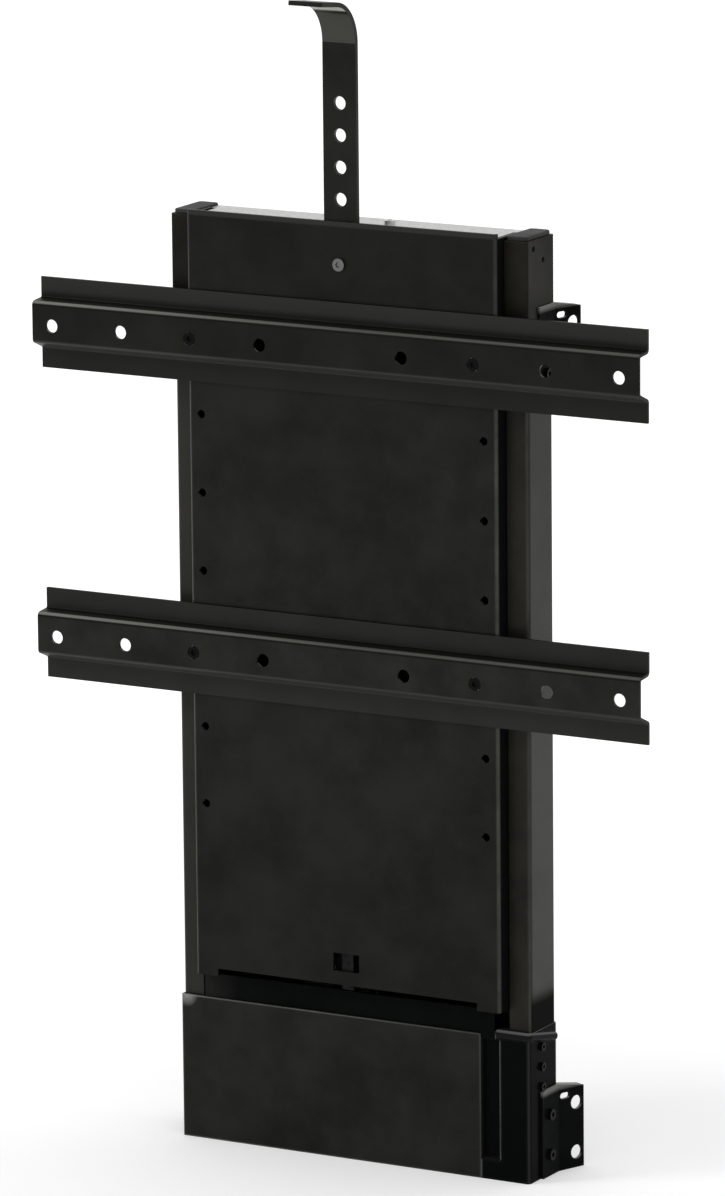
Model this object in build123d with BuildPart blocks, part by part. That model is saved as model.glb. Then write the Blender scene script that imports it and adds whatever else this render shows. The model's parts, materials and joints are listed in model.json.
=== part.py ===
from build123d import *
from math import cos, radians, sin, tan
import os

# TV lift, lowered. Millimetres, Z up, the front faces -Y.
# The origin is the centre of the base's underside, on the axis of the lead screw.

os.makedirs("parts", exist_ok=True)

# Each of the two stages travels this far, so the panel rises twice as much
stage_travel = 300.0

# Outer column: a sheet channel, open to the front between its two lips
column_width = 250.0
column_depth = 33.3
column_above_base = 502.0
column_sheet = 2.0
column_lip_width = 15.0
inner_bend = 1.0
side_hole_diameter = 4.0
front_hole_behind_lip = 6.6
front_hole_below_top = 4.4
rear_hole_behind_lip = 19.1
rear_hole_below_top = 12.7

# Base housing
base_depth = 36.0
base_height = 93.5
base_plate_thickness = 3.0
base_top_thickness = 3.0
apron_sheet = 2.0
apron_gap = 1.5
cover_sheet = 1.6
cover_right_margin = 34.5
cover_return = 4.0
end_sheet = 2.0
end_rim_width = 24.0
end_rim_height = 3.5
end_rim_lap = 2.5
end_pillar_width = 21.0
end_foot_height = 13.0
end_round = 2.4
bead_radius = 2.8
bead_inset = 1.0
bead_below_top = 2.0
bead_drop = 7.0
stay_width = 16.0
stay_height = 38.0
stay_sheet = 2.0
end_screw_y = -1.5
end_screw_below_top = 8.0
end_screw_bracket_gap = 0.35
end_screw_count = 3

# Front panel of the carriage
panel_height = 491.0
panel_above_base = 17.0
panel_sheet = 2.0
panel_proud = 11.2
panel_flange = 29.5
panel_flange_below_top = 3.0
panel_side_gap = 0.75
panel_notch_from_edge = 16.25
panel_notch_height = 5.1
window_width = 18.5
window_height = 11.7
window_above_edge = 19.7
panel_hole_pitch = 50.0
panel_hole_from_edge = 9.25
panel_hole_rows = 7
panel_hole_diameter = 5.5

# TV rails: hat section, flanges against the panel
rail_length = 428.0
rail_height = 58.0
rail_depth = 13.5
rail_sheet = 2.0
rail_shelf_above = 16.0
rail_web_above = 15.0
rail_web_below = 11.0
rail_below_panel_top = 79.0
rail_pitch = 200.0
rail_hole_diameter = 8.5
rail_inner_hole = 50.0
rail_third_hole = 150.0
rail_outer_hole = 200.0
spacer_radius = 7.0

# Goose-neck strap
strap_width = 23.4
strap_thickness = 3.0
strap_lap = 39.5
strap_straight_above = 111.0
strap_bend_radius = 25.6
strap_bend_angle = 83.0
strap_tip = 20.5
strap_corner = 1.5
strap_hole_diameter = 8.5
strap_hole_pitch = 20.0
strap_first_hole = 13.5
strap_hole_count = 4
strap_screw_below_top = 26.7

# Middle mast: a lipped channel inside the column
mast_sheet = 2.0
mast_gap = 1.5
mast_side_gap = 3.0
mast_lip_setback = 1.0
mast_height = 492.0
mast_above_base = 10.5
mast_plate_sheet = 2.0
mast_plate_overhang = 5.2
mast_plate_side_gap = 2.25
mast_ear_depth = 10.0
mast_slot_clearance = 0.7
mast_cap_inset = 1.3
mast_cap_gap = 0.3
mast_cap_above_plate = 1.3
mast_cap_round = 3.0
mast_cap_edge = 1.0

# Glides
glide_clearance = 0.2
glide_lap = 11.5
column_glide_height = 60.0
column_glide_below_top = 5.5
mast_glide_height = 60.0
mast_glide_above_foot = 2.0
carriage_glide_height = 45.0
carriage_glide_low = 5.5
carriage_glide_high = 129.5

# Lift belt and its pulley
belt_width = 20.0
belt_thickness = 1.4
belt_clearance = 0.1
pulley_radius = 14.0
pulley_flange = 1.0
pulley_side_clearance = 0.2
pulley_below_top = 17.0
pulley_boss = 1.6
axle_radius = 4.0
axle_head = 2.0
axle_head_radius = 6.0
running_clearance = 0.05
bush_wall = 1.5
cheek_sheet = 2.0
cheek_depth = 16.0
cheek_drop = 28.0
cheek_ear = 12.0
belt_tail = 29.0
anchor_height = 26.0
anchor_grip = 2.0
anchor_foot = 10.0
clamp_nose = 8.0
clamp_width = 32.0
clamp_plate_height = 28.0
clamp_plate_sheet = 1.8
clamp_bar_height = 37.5
clamp_back = 3.0
clamp_above_edge = 2.0

# Lead screw, its nut and the bevel gears that turn it
screw_radius = 7.0
journal_radius = 5.0
screw_overrun = 6.0
screw_end_above_floor = 6.0
bearing_width = 7.0
bearing_radius = 11.0
bearing_flange = 3.0
bearing_flange_thickness = 2.0
bearing_block_size = 30.0
bearing_block_height = 17.0
bearing_relief = 7.0
gear_teeth = 16
gear_pitch_radius = 13.0
gear_face = 4.2
gear_addendum = 1.2
gear_dedendum = 1.9
gear_apex_height = 44.0
gear_hub_radius = 8.5
pinion_hub_length = 7.0
gear_end_gap = 0.3
nut_clearance = 0.1
nut_wall = 2.5
nut_flange = 1.5
nut_flange_thickness = 3.0
nut_block_wall = 2.0
nut_block_width = 32.0
nut_block_height = 34.0
nut_above_foot = 46.0
nut_ear = 12.0
nut_ear_thickness = 4.0
nut_screw_inset = 8.0

# Motor, lying in the base
motor_radius = 11.7
motor_end_gap = 4.5
motor_boss_radius = 6.0
motor_boss_length = 2.0
gearbox_radius = 15.4
gearbox_length = 34.0
motor_shaft_radius = 4.0
motor_shaft_depth = 10.0
motor_mount_sheet = 2.0
motor_mount_gap = 2.0
motor_mount_height = 62.0
motor_mount_foot = 16.0
motor_screw_circle = 11.8

# Control unit at the other end of the base
case_length = 70.0
case_depth = 26.0
case_height = 30.0
case_wall = 1.6
case_from_end = 18.5
board_sheet = 1.6
board_gap = 0.5
post_height = 7.0
post_radius = 2.5
connector_width = 12.0
connector_depth = 8.0
connector_height = 9.0
connector_inset = 4.0
relay_width = 12.0
relay_depth = 10.0
relay_height = 10.0
relay_pitch = 16.0
relay_inset = 12.0
capacitor_radius = 4.0
capacitor_height = 12.0
capacitor_inset = 47.0
inlet_radius = 5.8
inlet_bore = 4.2
inlet_depth = 15.0
inlet_y = -9.5
inlet_level = 30.0
inlet_recess = 9.0
inlet_pin_radius = 1.2
lead_radius = 2.0
lead_bend_share = 0.45
lead_below_top = 10.0
lead_from_tail = 30.0
lead_end_gap = 0.9

# Stops and sensor on the base's top
stop_gap = 0.3
buffer_width = 20.0
buffer_depth = 6.7
buffer_from_side = 29.5
sensor_width = 20.0
sensor_from_side = 79.5

# Wall brackets
bracket_sheet = 2.0
bracket_root_height = 56.4
bracket_tip_height = 52.7
bracket_flange = 21.0
bracket_flare = 22.0
bracket_lip = 5.0
bracket_leg = 21.0
bracket_hole_diameter = 9.0
bracket_hole_low = 10.1
bracket_hole_high = 42.4
bracket_hole_edge = 6.0
bracket_slot_width = 7.8
bracket_slot_height = 4.0
bracket_slot_s = 5.6
bracket_slot_level = 48.3
bracket_screw_low = 14.0
bracket_screw_high = 40.0
bracket_screw_from_edge = 9.0
upper_bracket_below_top = 98.0

# Top collars
collar_sheet = 0.8
collar_height = 66.5
collar_proud = 1.5
collar_top = 1.0
collar_rear_lap = 12.0
collar_notch_gap = 0.3

# Fasteners
m3_radius = 1.5
m3_head_radius = 2.75
m3_head_height = 1.8
m4_radius = 2.0
m4_head_radius = 3.6
m4_head_height = 2.2
m5_radius = 2.5
m5_head_radius = 4.0
m5_head_height = 1.8
nut_radius = 4.6
rail_nut_height = 4.0
strap_nut_height = 3.0
hole_clearance = 0.2

# Planes and levels that follow from the sizes above
back_y = base_depth / 2
base_front_y = -base_depth / 2
base_inner_front = base_front_y + cover_sheet
column_half = column_width / 2
column_inner_half = column_half - column_sheet
column_front_y = back_y - column_depth
column_lip_back = column_front_y + column_sheet
column_inner_back = back_y - column_sheet
column_middle_y = back_y - column_depth / 2
lip_edge_x = column_half - column_lip_width
end_inner_x = column_half - end_sheet
cover_right_x = column_half - cover_right_margin
rim_x = column_half - end_rim_width
pillar_x = column_half - end_pillar_width
top_under_z = base_height - base_top_thickness
end_cap_height = base_height + end_rim_height
bead_level = end_cap_height - bead_below_top
column_height = base_height + column_above_base
upper_bracket_z = column_height - upper_bracket_below_top
end_screw_high = base_height - end_screw_below_top
end_screw_low = bracket_root_height + end_screw_bracket_gap + m3_head_radius
end_screw_pitch = (end_screw_high - end_screw_low) / (end_screw_count - 1)
end_screw_levels = [end_screw_high - index * end_screw_pitch for index in range(end_screw_count)]
bracket_screw_levels = (bracket_screw_low, bracket_screw_high)
panel_bottom = base_height + panel_above_base
panel_front_y = column_front_y - panel_proud
panel_back_y = panel_front_y + panel_sheet
panel_half = lip_edge_x - panel_side_gap
panel_inner_half = panel_half - panel_sheet
panel_top = panel_bottom + panel_height
rail_upper_z = panel_top - rail_below_panel_top
rail_front_y = panel_front_y - rail_depth
rail_web_back = rail_front_y + rail_sheet
mast_half = column_inner_half - mast_side_gap
mast_inner_half = mast_half - mast_sheet
mast_lip_x = lip_edge_x + mast_lip_setback
mast_front_y = column_lip_back + mast_gap
mast_back_y = column_inner_back - mast_gap
mast_inner_front = mast_front_y + mast_sheet
mast_inner_back = mast_back_y - mast_sheet
mast_middle_y = (mast_front_y + mast_back_y) / 2
mast_bottom = base_height + mast_above_base
mast_top = mast_bottom + mast_height
pulley_z = mast_top - pulley_below_top
belt_inner = pulley_radius + belt_clearance
belt_outer = belt_inner + belt_thickness
pulley_half = belt_width / 2 + pulley_side_clearance + pulley_flange
cheek_x = pulley_half + pulley_boss + pulley_side_clearance
anchor_bottom = pulley_z - belt_tail - anchor_foot
slot_bottom = anchor_bottom - stage_travel - screw_overrun
nut_bottom = mast_bottom + nut_above_foot
screw_top = nut_bottom + nut_block_height + stage_travel + screw_overrun
clamp_bottom = panel_bottom + clamp_above_edge
block_top = base_plate_thickness + bearing_block_height
bearing_seat = block_top - bearing_width
journal_top = base_height + bearing_flange_thickness + gear_end_gap
gear_back = gear_apex_height - gear_pitch_radius
motor_mount_x = gear_pitch_radius + pinion_hub_length + motor_mount_gap
gearbox_x = motor_mount_x + motor_mount_sheet
motor_x = gearbox_x + gearbox_length
motor_tail_x = end_inner_x - motor_end_gap
case_x = -end_inner_x + case_from_end
board_z = base_plate_thickness + post_height
stop_top = mast_bottom - stop_gap
collar_x = column_half + collar_sheet
collar_front_y = column_front_y - collar_proud
collar_back_y = back_y + collar_sheet
collar_bottom = column_height - collar_height
collar_level = column_height + collar_top
rail_rows = (rail_upper_z, rail_upper_z - rail_pitch)
rail_fixing_x = panel_half - panel_hole_from_edge
strap_screw_z = panel_top - strap_screw_below_top
strap_first_z = panel_top + strap_first_hole
motor_screw_angles = (45, 135, 225, 315)


def write(piece, name):
    piece.part.label = name
    export_step(piece.part, f"parts/{name}.step")


def write_mirrored(piece, name):
    with BuildPart() as copy:
        mirror(piece.part, about=Plane.YZ)
    write(copy, name)


# A box between two limits on each axis, in the part being built
def block(x_ends, y_ends, z_ends, mode=Mode.ADD):
    low_x, high_x = sorted(x_ends)
    low_y, high_y = sorted(y_ends)
    low_z, high_z = sorted(z_ends)
    with Locations(((low_x + high_x) / 2, (low_y + high_y) / 2, (low_z + high_z) / 2)):
        Box(high_x - low_x, high_y - low_y, high_z - low_z, mode=mode)


# A rod or a bore from a seat plane: up to height above it and down to depth below it
def rod(seat, radius, height, depth, mode=Mode.ADD):
    with Locations(seat.offset((height - depth) / 2)):
        Cylinder(radius, height + depth, mode=mode)


# A screw with its head on the seat plane and a hexagon socket in the head
def socket_screw(seat, radius, length, head_radius, head_height):
    rod(seat, head_radius, head_height, 0)
    rod(seat, radius, 0, length)
    with BuildSketch(seat.offset(head_height)) as socket:
        RegularPolygon(head_radius / 2, 6)
    extrude(socket.sketch, amount=-head_height / 2, mode=Mode.SUBTRACT)


# A countersunk screw, its head flush with the seat plane
def flat_screw(seat, radius, length, head_radius, extra=0.0, mode=Mode.ADD):
    rod(seat, radius + extra, 0, length, mode)
    cone_depth = head_radius - radius
    with Locations(seat.offset(-cone_depth / 2)):
        Cone(radius + extra, head_radius + extra, cone_depth, mode=mode)


# Seat planes for what is fastened from each side
def seat_front(x, y, z):
    return Plane(origin=(x, y, z), x_dir=(1, 0, 0), z_dir=(0, -1, 0))


def seat_back(x, y, z):
    return Plane(origin=(x, y, z), x_dir=(1, 0, 0), z_dir=(0, 1, 0))


def seat_side(side, x, y, z):
    return Plane(origin=(side * x, y, z), x_dir=(0, 1, 0), z_dir=(side, 0, 0))


def seat_up(x, y, z):
    return Plane(origin=(x, y, z), x_dir=(1, 0, 0), z_dir=(0, 0, 1))


def seat_down(x, y, z):
    return Plane(origin=(x, y, z), x_dir=(1, 0, 0), z_dir=(0, 0, -1))


side_holes = [
    (column_front_y + front_hole_behind_lip, column_height - front_hole_below_top),
    (column_front_y + rear_hole_behind_lip, column_height - rear_hole_below_top),
]
bracket_screw_y = back_y - bracket_leg + bracket_screw_from_edge
bracket_screw_heights = [
    bottom + level for bottom in (0, upper_bracket_z) for level in bracket_screw_levels
]
anchor_screw_z = anchor_bottom + anchor_foot / 2
anchor_screw_x = belt_width / 4

# Outer column
with BuildPart() as outer_column:
    with BuildSketch():
        with Locations((0, column_middle_y)):
            RectangleRounded(column_width, column_depth, inner_bend + column_sheet)
            RectangleRounded(2 * column_inner_half, column_depth - 2 * column_sheet,
                             inner_bend, mode=Mode.SUBTRACT)
        with Locations((0, column_front_y)):
            Rectangle(2 * lip_edge_x, 2 * column_sheet + inner_bend, mode=Mode.SUBTRACT)
    extrude(amount=column_height)
    # Beside the base only the rear wall goes down to the floor
    for side, level in ((-1, base_height), (1, end_cap_height)):
        block((0, side * column_width), (column_inner_back, -column_width), (-1, level), Mode.SUBTRACT)
        block((side * end_inner_x, side * column_width), (-column_width, column_width),
              (-1, level), Mode.SUBTRACT)
        for hole_y, hole_z in side_holes:
            rod(seat_side(side, column_half, hole_y, hole_z), side_hole_diameter / 2,
                column_sheet, 2 * column_sheet, Mode.SUBTRACT)
        for level in bracket_screw_levels:
            rod(seat_side(side, column_half, bracket_screw_y, upper_bracket_z + level), m4_radius,
                column_sheet, 2 * column_sheet, Mode.SUBTRACT)
        rod(seat_front(side * anchor_screw_x, back_y, anchor_screw_z), m4_radius,
            2 * column_sheet, column_sheet, Mode.SUBTRACT)
write(outer_column, "outer_column")

# Collar round each top corner of the column, notched over the wall bracket
with BuildPart() as top_collar:
    block((lip_edge_x, collar_x), (collar_front_y, collar_back_y), (collar_bottom, collar_level))
    edges_to_round = top_collar.edges().filter_by(Axis.Z).group_by(Axis.X)[-1]
    fillet(edges_to_round, inner_bend + collar_sheet)
    block((lip_edge_x + collar_sheet, column_half), (collar_front_y + collar_sheet, column_front_y),
          (collar_bottom, column_height), Mode.SUBTRACT)
    block((0, column_half), (column_front_y, back_y), (collar_bottom, column_height), Mode.SUBTRACT)
    block((0, column_inner_half), (column_lip_back, collar_back_y + collar_sheet),
          (column_height, collar_level), Mode.SUBTRACT)
    block((0, column_half - collar_rear_lap), (back_y, collar_back_y),
          (collar_bottom, collar_level), Mode.SUBTRACT)
    block((0, column_width), (back_y - bracket_leg - collar_notch_gap, column_width),
          (collar_bottom, upper_bracket_z + bracket_root_height + collar_notch_gap), Mode.SUBTRACT)
    for hole_y, hole_z in side_holes:
        rod(seat_side(1, column_half, hole_y, hole_z), side_hole_diameter / 2,
            2 * collar_sheet, collar_sheet, Mode.SUBTRACT)
write(top_collar, "top_collar_right")
write_mirrored(top_collar, "top_collar_left")

# Plastic glides in the column's mouth, which guide the mast
with BuildPart() as column_glides:
    with BuildSketch(Plane.XY.offset(column_height - column_glide_below_top - column_glide_height)):
        with Locations((0, column_middle_y)):
            RectangleRounded(2 * column_inner_half, column_depth - 2 * column_sheet,
                             inner_bend + glide_clearance)
        with Locations((0, mast_middle_y)):
            Rectangle(2 * (mast_half + glide_clearance), mast_back_y - mast_front_y + 2 * glide_clearance,
                      mode=Mode.SUBTRACT)
        Rectangle(2 * (column_inner_half - glide_lap), column_width, mode=Mode.SUBTRACT)
    extrude(amount=column_glide_height)
write(column_glides, "column_glides")

# Base plate and top plate
base_screw_places = [
    (x, y)
    for x in (-bearing_block_size / 3, bearing_block_size / 3, gearbox_x + motor_mount_foot / 2)
    for y in (-bearing_block_size / 3, bearing_block_size / 3)
]
base_screw_length = base_plate_thickness + motor_mount_sheet
with BuildPart() as base_plate:
    block((-end_inner_x, end_inner_x), (base_inner_front, column_inner_back), (0, base_plate_thickness))
    for x, y in base_screw_places:
        flat_screw(seat_down(x, y, 0), m4_radius, base_plate_thickness + 1, m4_head_radius,
                   hole_clearance, Mode.SUBTRACT)
write(base_plate, "base_plate")

with BuildPart() as base_top_plate:
    block((-end_inner_x, end_inner_x), (base_inner_front, column_inner_back), (top_under_z, base_height))
    # Its front edge stands up as an apron between the panel and the screw
    block((apron_gap - lip_edge_x, rim_x - apron_gap),
          (base_inner_front, base_inner_front + apron_sheet),
          (top_under_z, panel_bottom - apron_gap))
    rod(seat_up(0, 0, base_height), bearing_radius, 1, base_top_thickness + 1, Mode.SUBTRACT)
write(base_top_plate, "base_top_plate")

with BuildPart() as base_screws:
    for x, y in base_screw_places:
        flat_screw(seat_down(x, y, 0), m4_radius, base_screw_length, m4_head_radius)
write(base_screws, "base_screws")

# Front cover, folded back at its right edge
web_front_y = base_front_y + cover_return
web_back_y = web_front_y + cover_sheet
with BuildPart() as base_cover:
    block((-column_half, cover_right_x), (base_front_y, base_inner_front), (0, base_height))
    block((cover_right_x - cover_sheet, cover_right_x), (base_front_y, web_front_y),
          (end_foot_height, top_under_z))
    left_edge = base_cover.edges().filter_by(Axis.Z).filter_by_position(Axis.X, -column_half, -column_half)
    fillet(left_edge.sort_by(Axis.Y)[0], cover_sheet / 2)
write(base_cover, "base_cover")

# Right end of the base: side wall, pillar, recessed web, foot and rounded rim
with BuildPart() as end_cap_right:
    block((pillar_x, column_half), (base_front_y, back_y), (0, end_cap_height))
    block((rim_x, column_half), (base_front_y, back_y), (base_height - end_rim_lap, end_cap_height))
    block((cover_right_x, column_half), (base_front_y, web_back_y), (0, end_foot_height))
    corner = end_cap_right.edges().filter_by(Axis.Z).filter_by_position(Axis.X, column_half, column_half)
    fillet(corner.sort_by(Axis.Y)[0], end_round)
    top_edges = end_cap_right.faces().sort_by(Axis.Z)[-1].edges()
    fillet(top_edges.filter_by_position(Axis.Y, -column_width, column_inner_back), end_round / 2)
    # A bead round the shoulder, level in front and falling towards the rear at the side
    bead_start = Vector(rim_x + bead_radius, base_front_y + bead_inset, bead_level)
    bead_corner = Vector(column_half - bead_inset, base_front_y + bead_inset, bead_level)
    bead_rear = Vector(column_half - bead_inset, back_y - bead_inset, bead_level - bead_drop)
    for end in (bead_start, bead_rear):
        with Locations(Plane(origin=bead_corner, z_dir=end - bead_corner)):
            Cylinder(bead_radius, (end - bead_corner).length, align=(Align.CENTER, Align.CENTER, Align.MIN))
    with Locations(bead_start, bead_corner):
        Sphere(bead_radius)
    # Hollow it: below the top plate, then under the rim
    block((pillar_x + end_sheet, end_inner_x), (base_inner_front, column_width),
          (-1, top_under_z), Mode.SUBTRACT)
    block((0, pillar_x + end_sheet), (base_inner_front, column_width),
          (-1, end_foot_height - end_sheet), Mode.SUBTRACT)
    block((0, pillar_x + end_sheet), (web_back_y, column_width), (-1, top_under_z), Mode.SUBTRACT)
    block((0, end_inner_x), (base_inner_front, column_width), (top_under_z, base_height), Mode.SUBTRACT)
    block((rim_x + end_sheet, end_inner_x), (base_inner_front, column_width),
          (base_height, end_cap_height - end_sheet), Mode.SUBTRACT)
    block((0, end_inner_x), (column_inner_back, column_width), (-1, end_cap_height + 1), Mode.SUBTRACT)
    block((cover_right_x - cover_sheet, pillar_x), (web_front_y, web_back_y),
          (end_foot_height, top_under_z))
    for level in end_screw_levels:
        rod(seat_side(1, column_half, end_screw_y, level), m3_radius, 1, 2 * end_sheet, Mode.SUBTRACT)
    for level in bracket_screw_levels:
        rod(seat_side(1, column_half, bracket_screw_y, level), m4_radius, 1, 2 * end_sheet, Mode.SUBTRACT)
write(end_cap_right, "end_cap_right")

# Left end of the base, with the opening for the power inlet
with BuildPart() as end_cap_left:
    block((-column_half, -end_inner_x), (base_inner_front, back_y), (0, base_height))
    rod(seat_side(-1, column_half, inlet_y, inlet_level), inlet_radius, 1, 2 * end_sheet, Mode.SUBTRACT)
    for level in end_screw_levels:
        rod(seat_side(-1, column_half, end_screw_y, level), m3_radius, 1, 2 * end_sheet, Mode.SUBTRACT)
    for level in bracket_screw_levels:
        rod(seat_side(-1, column_half, bracket_screw_y, level), m4_radius, 1, 2 * end_sheet, Mode.SUBTRACT)
write(end_cap_left, "end_cap_left")

# Stays inside the ends, and the screws that hold the ends to them
stay_x = end_inner_x - stay_sheet
with BuildPart() as end_stays:
    for side in (-1, 1):
        block((side * stay_x, side * end_inner_x),
              (end_screw_y - stay_width / 2, end_screw_y + stay_width / 2),
              (top_under_z - stay_height, top_under_z))
        block((side * (stay_x - stay_width), side * stay_x),
              (end_screw_y - stay_width / 2, end_screw_y + stay_width / 2),
              (top_under_z - stay_sheet, top_under_z))
        for level in end_screw_levels:
            rod(seat_side(side, end_inner_x, end_screw_y, level), m3_radius, 1,
                2 * stay_sheet, Mode.SUBTRACT)
write(end_stays, "end_stays")

with BuildPart() as end_screws:
    for side in (-1, 1):
        for level in end_screw_levels:
            socket_screw(seat_side(side, column_half, end_screw_y, level), m3_radius,
                         end_sheet + stay_sheet, m3_head_radius, m3_head_height)
write(end_screws, "end_screws")


# Wall bracket: a leg on the column's side and a flange flared out from its rear corner
def wall_bracket(bottom, name):
    bracket_hole_s = bracket_flange - bracket_hole_edge
    flare_x = sin(radians(bracket_flare))
    flare_y = cos(radians(bracket_flare))
    flange_face = Plane(origin=(column_half, back_y, bottom), x_dir=(flare_x, flare_y, 0),
                        z_dir=(flare_y, -flare_x, 0))
    with BuildPart() as bracket:
        block((column_half, column_half + bracket_sheet), (back_y - bracket_leg, back_y),
              (bottom, bottom + bracket_root_height))
        with BuildSketch(flange_face):
            Polygon((0, 0), (bracket_flange, 0), (bracket_flange, bracket_tip_height),
                    (0, bracket_root_height), align=None)
        extrude(amount=bracket_sheet)
        with BuildSketch(flange_face):
            Polygon((0, bracket_root_height - bracket_sheet),
                    (bracket_flange, bracket_tip_height - bracket_sheet),
                    (bracket_flange, bracket_tip_height), (0, bracket_root_height), align=None)
        extrude(amount=-bracket_lip)
        with BuildSketch(flange_face):
            with Locations((bracket_hole_s, bracket_hole_low), (bracket_hole_s, bracket_hole_high)):
                Circle(bracket_hole_diameter / 2)
            with Locations((bracket_slot_s, bracket_slot_level)):
                SlotOverall(bracket_slot_width, bracket_slot_height)
        extrude(amount=bracket_sheet, mode=Mode.SUBTRACT)
        for level in bracket_screw_levels:
            rod(seat_side(1, column_half, bracket_screw_y, bottom + level), m4_radius,
                2 * bracket_sheet, 1, Mode.SUBTRACT)
    write(bracket, f"{name}_right")
    write_mirrored(bracket, f"{name}_left")


wall_bracket(0, "lower_bracket")
wall_bracket(upper_bracket_z, "upper_bracket")

with BuildPart() as bracket_screws:
    for side in (-1, 1):
        for height in bracket_screw_heights:
            socket_screw(seat_side(side, column_half + bracket_sheet, bracket_screw_y, height), m4_radius,
                         bracket_sheet + column_sheet, m4_head_radius, m4_head_height)
write(bracket_screws, "bracket_screws")

# Bearing block on the floor, and the two bearings of the lead screw
block_half = bearing_block_size / 2
with BuildPart() as foot_bearing_block:
    block((-block_half, block_half), (-block_half, block_half), (base_plate_thickness, block_top))
    rod(seat_up(0, 0, block_top), bearing_radius, 1, bearing_width, Mode.SUBTRACT)
    rod(seat_up(0, 0, bearing_seat), bearing_relief, 1, bearing_seat - screw_end_above_floor, Mode.SUBTRACT)
    for x, y in base_screw_places:
        rod(seat_down(x, y, base_plate_thickness), m4_radius, 1, motor_mount_sheet, Mode.SUBTRACT)
write(foot_bearing_block, "foot_bearing_block")

with BuildPart() as screw_bearings:
    rod(seat_up(0, 0, bearing_seat), bearing_radius, bearing_width, 0)
    rod(seat_up(0, 0, base_height), bearing_radius, bearing_flange_thickness,
        bearing_width - bearing_flange_thickness)
    rod(seat_up(0, 0, base_height), bearing_radius + bearing_flange, bearing_flange_thickness, 0)
    rod(seat_up(0, 0, 0), journal_radius + running_clearance, journal_top, 0, Mode.SUBTRACT)
write(screw_bearings, "screw_bearings")

# Lead screw
with BuildPart() as lead_screw:
    rod(seat_up(0, 0, 0), journal_radius, journal_top, -(screw_end_above_floor + gear_end_gap))
    rod(seat_up(0, 0, journal_top), screw_radius, screw_top - journal_top, 0)
    chamfer(lead_screw.faces().sort_by(Axis.Z)[-1].edges(), screw_radius - journal_radius)
write(lead_screw, "lead_screw")

gear_pitch_angle = 360 / gear_teeth
gear_root_share = 0.30
gear_tip_share = 0.11


# Outline of a bevel gear in the plane this far from the apex, scaled towards it
def gear_outline(distance, first_tooth):
    scale = distance / gear_pitch_radius
    root = (gear_pitch_radius - gear_dedendum) * scale
    tip = (gear_pitch_radius + gear_addendum) * scale
    tooth = ((root, -gear_root_share), (tip, -gear_tip_share),
             (tip, gear_tip_share), (root, gear_root_share))
    corners = []
    for index in range(gear_teeth):
        for radius, share in tooth:
            angle = radians((first_tooth + index + share) * gear_pitch_angle)
            corners.append((radius * cos(angle), radius * sin(angle)))
    return corners


# The toothed part of a bevel gear, its axis along the apex plane's normal
def gear_teeth_solid(apex, first_tooth):
    sections = []
    for distance in (gear_pitch_radius - gear_face, gear_pitch_radius):
        with BuildSketch(apex.offset(distance)) as outline:
            Polygon(*gear_outline(distance, first_tooth), align=None)
        sections.append(outline.sketch.face())
    loft(sections, ruled=True)


with BuildPart() as driven_bevel_gear:
    gear_teeth_solid(seat_down(0, 0, gear_apex_height), 0)
    rod(seat_down(0, 0, gear_back), gear_hub_radius, gear_back - block_top - gear_end_gap, 0)
    rod(seat_up(0, 0, 0), journal_radius, gear_apex_height, 0, Mode.SUBTRACT)
write(driven_bevel_gear, "driven_bevel_gear")

# Motor pinion with the gearbox's shaft; it meets the driven gear with a gap towards it
pinion_apex = Plane(origin=(0, 0, gear_apex_height), x_dir=(0, 0, -1), z_dir=(1, 0, 0))
with BuildPart() as motor_pinion:
    gear_teeth_solid(pinion_apex, 0.5)
    rod(pinion_apex.offset(gear_pitch_radius), gear_hub_radius, pinion_hub_length, 0)
    rod(pinion_apex.offset(gear_pitch_radius), motor_shaft_radius,
        gearbox_x - gear_pitch_radius + motor_shaft_depth, 0)
write(motor_pinion, "motor_pinion")

# Motor, gearbox and the angle that carries them
motor_screw_seats = [
    Plane(origin=(motor_mount_x, motor_screw_circle * cos(radians(angle)),
                  gear_apex_height + motor_screw_circle * sin(radians(angle))), z_dir=(-1, 0, 0))
    for angle in motor_screw_angles
]
with BuildPart() as gearbox:
    rod(pinion_apex.offset(gearbox_x), gearbox_radius, gearbox_length, 0)
    rod(pinion_apex.offset(gearbox_x), motor_shaft_radius + running_clearance,
        motor_shaft_depth + gear_end_gap, 1, Mode.SUBTRACT)
    for seat in motor_screw_seats:
        rod(seat, m3_radius, 0, motor_shaft_depth, Mode.SUBTRACT)
write(gearbox, "gearbox")

with BuildPart() as gear_motor:
    rod(pinion_apex.offset(motor_x), motor_radius, motor_tail_x - motor_x, 0)
    chamfer(gear_motor.faces().sort_by(Axis.X)[-1].edges(), motor_boss_length / 2)
    rod(pinion_apex.offset(motor_tail_x), motor_boss_radius, motor_boss_length, 0)
write(gear_motor, "gear_motor")

mount_half = bearing_block_size / 2
with BuildPart() as motor_mount:
    block((motor_mount_x, gearbox_x), (-mount_half, mount_half),
          (base_plate_thickness, base_plate_thickness + motor_mount_height))
    block((gearbox_x, gearbox_x + motor_mount_foot), (-mount_half, mount_half),
          (base_plate_thickness, base_plate_thickness + motor_mount_sheet))
    rod(pinion_apex.offset(gearbox_x), motor_shaft_radius + 2 * hole_clearance, 1,
        motor_mount_sheet + 1, Mode.SUBTRACT)
    for seat in motor_screw_seats:
        rod(seat, m3_radius, 1, motor_shaft_depth, Mode.SUBTRACT)
    for x, y in base_screw_places:
        rod(seat_down(x, y, base_plate_thickness), m4_radius, 1, motor_mount_sheet + 1, Mode.SUBTRACT)
write(motor_mount, "motor_mount")

with BuildPart() as motor_screws:
    for seat in motor_screw_seats:
        rod(seat, m3_head_radius, m3_head_height, 0)
        rod(seat, m3_radius, 0, motor_shaft_depth)
write(motor_screws, "motor_screws")

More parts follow.
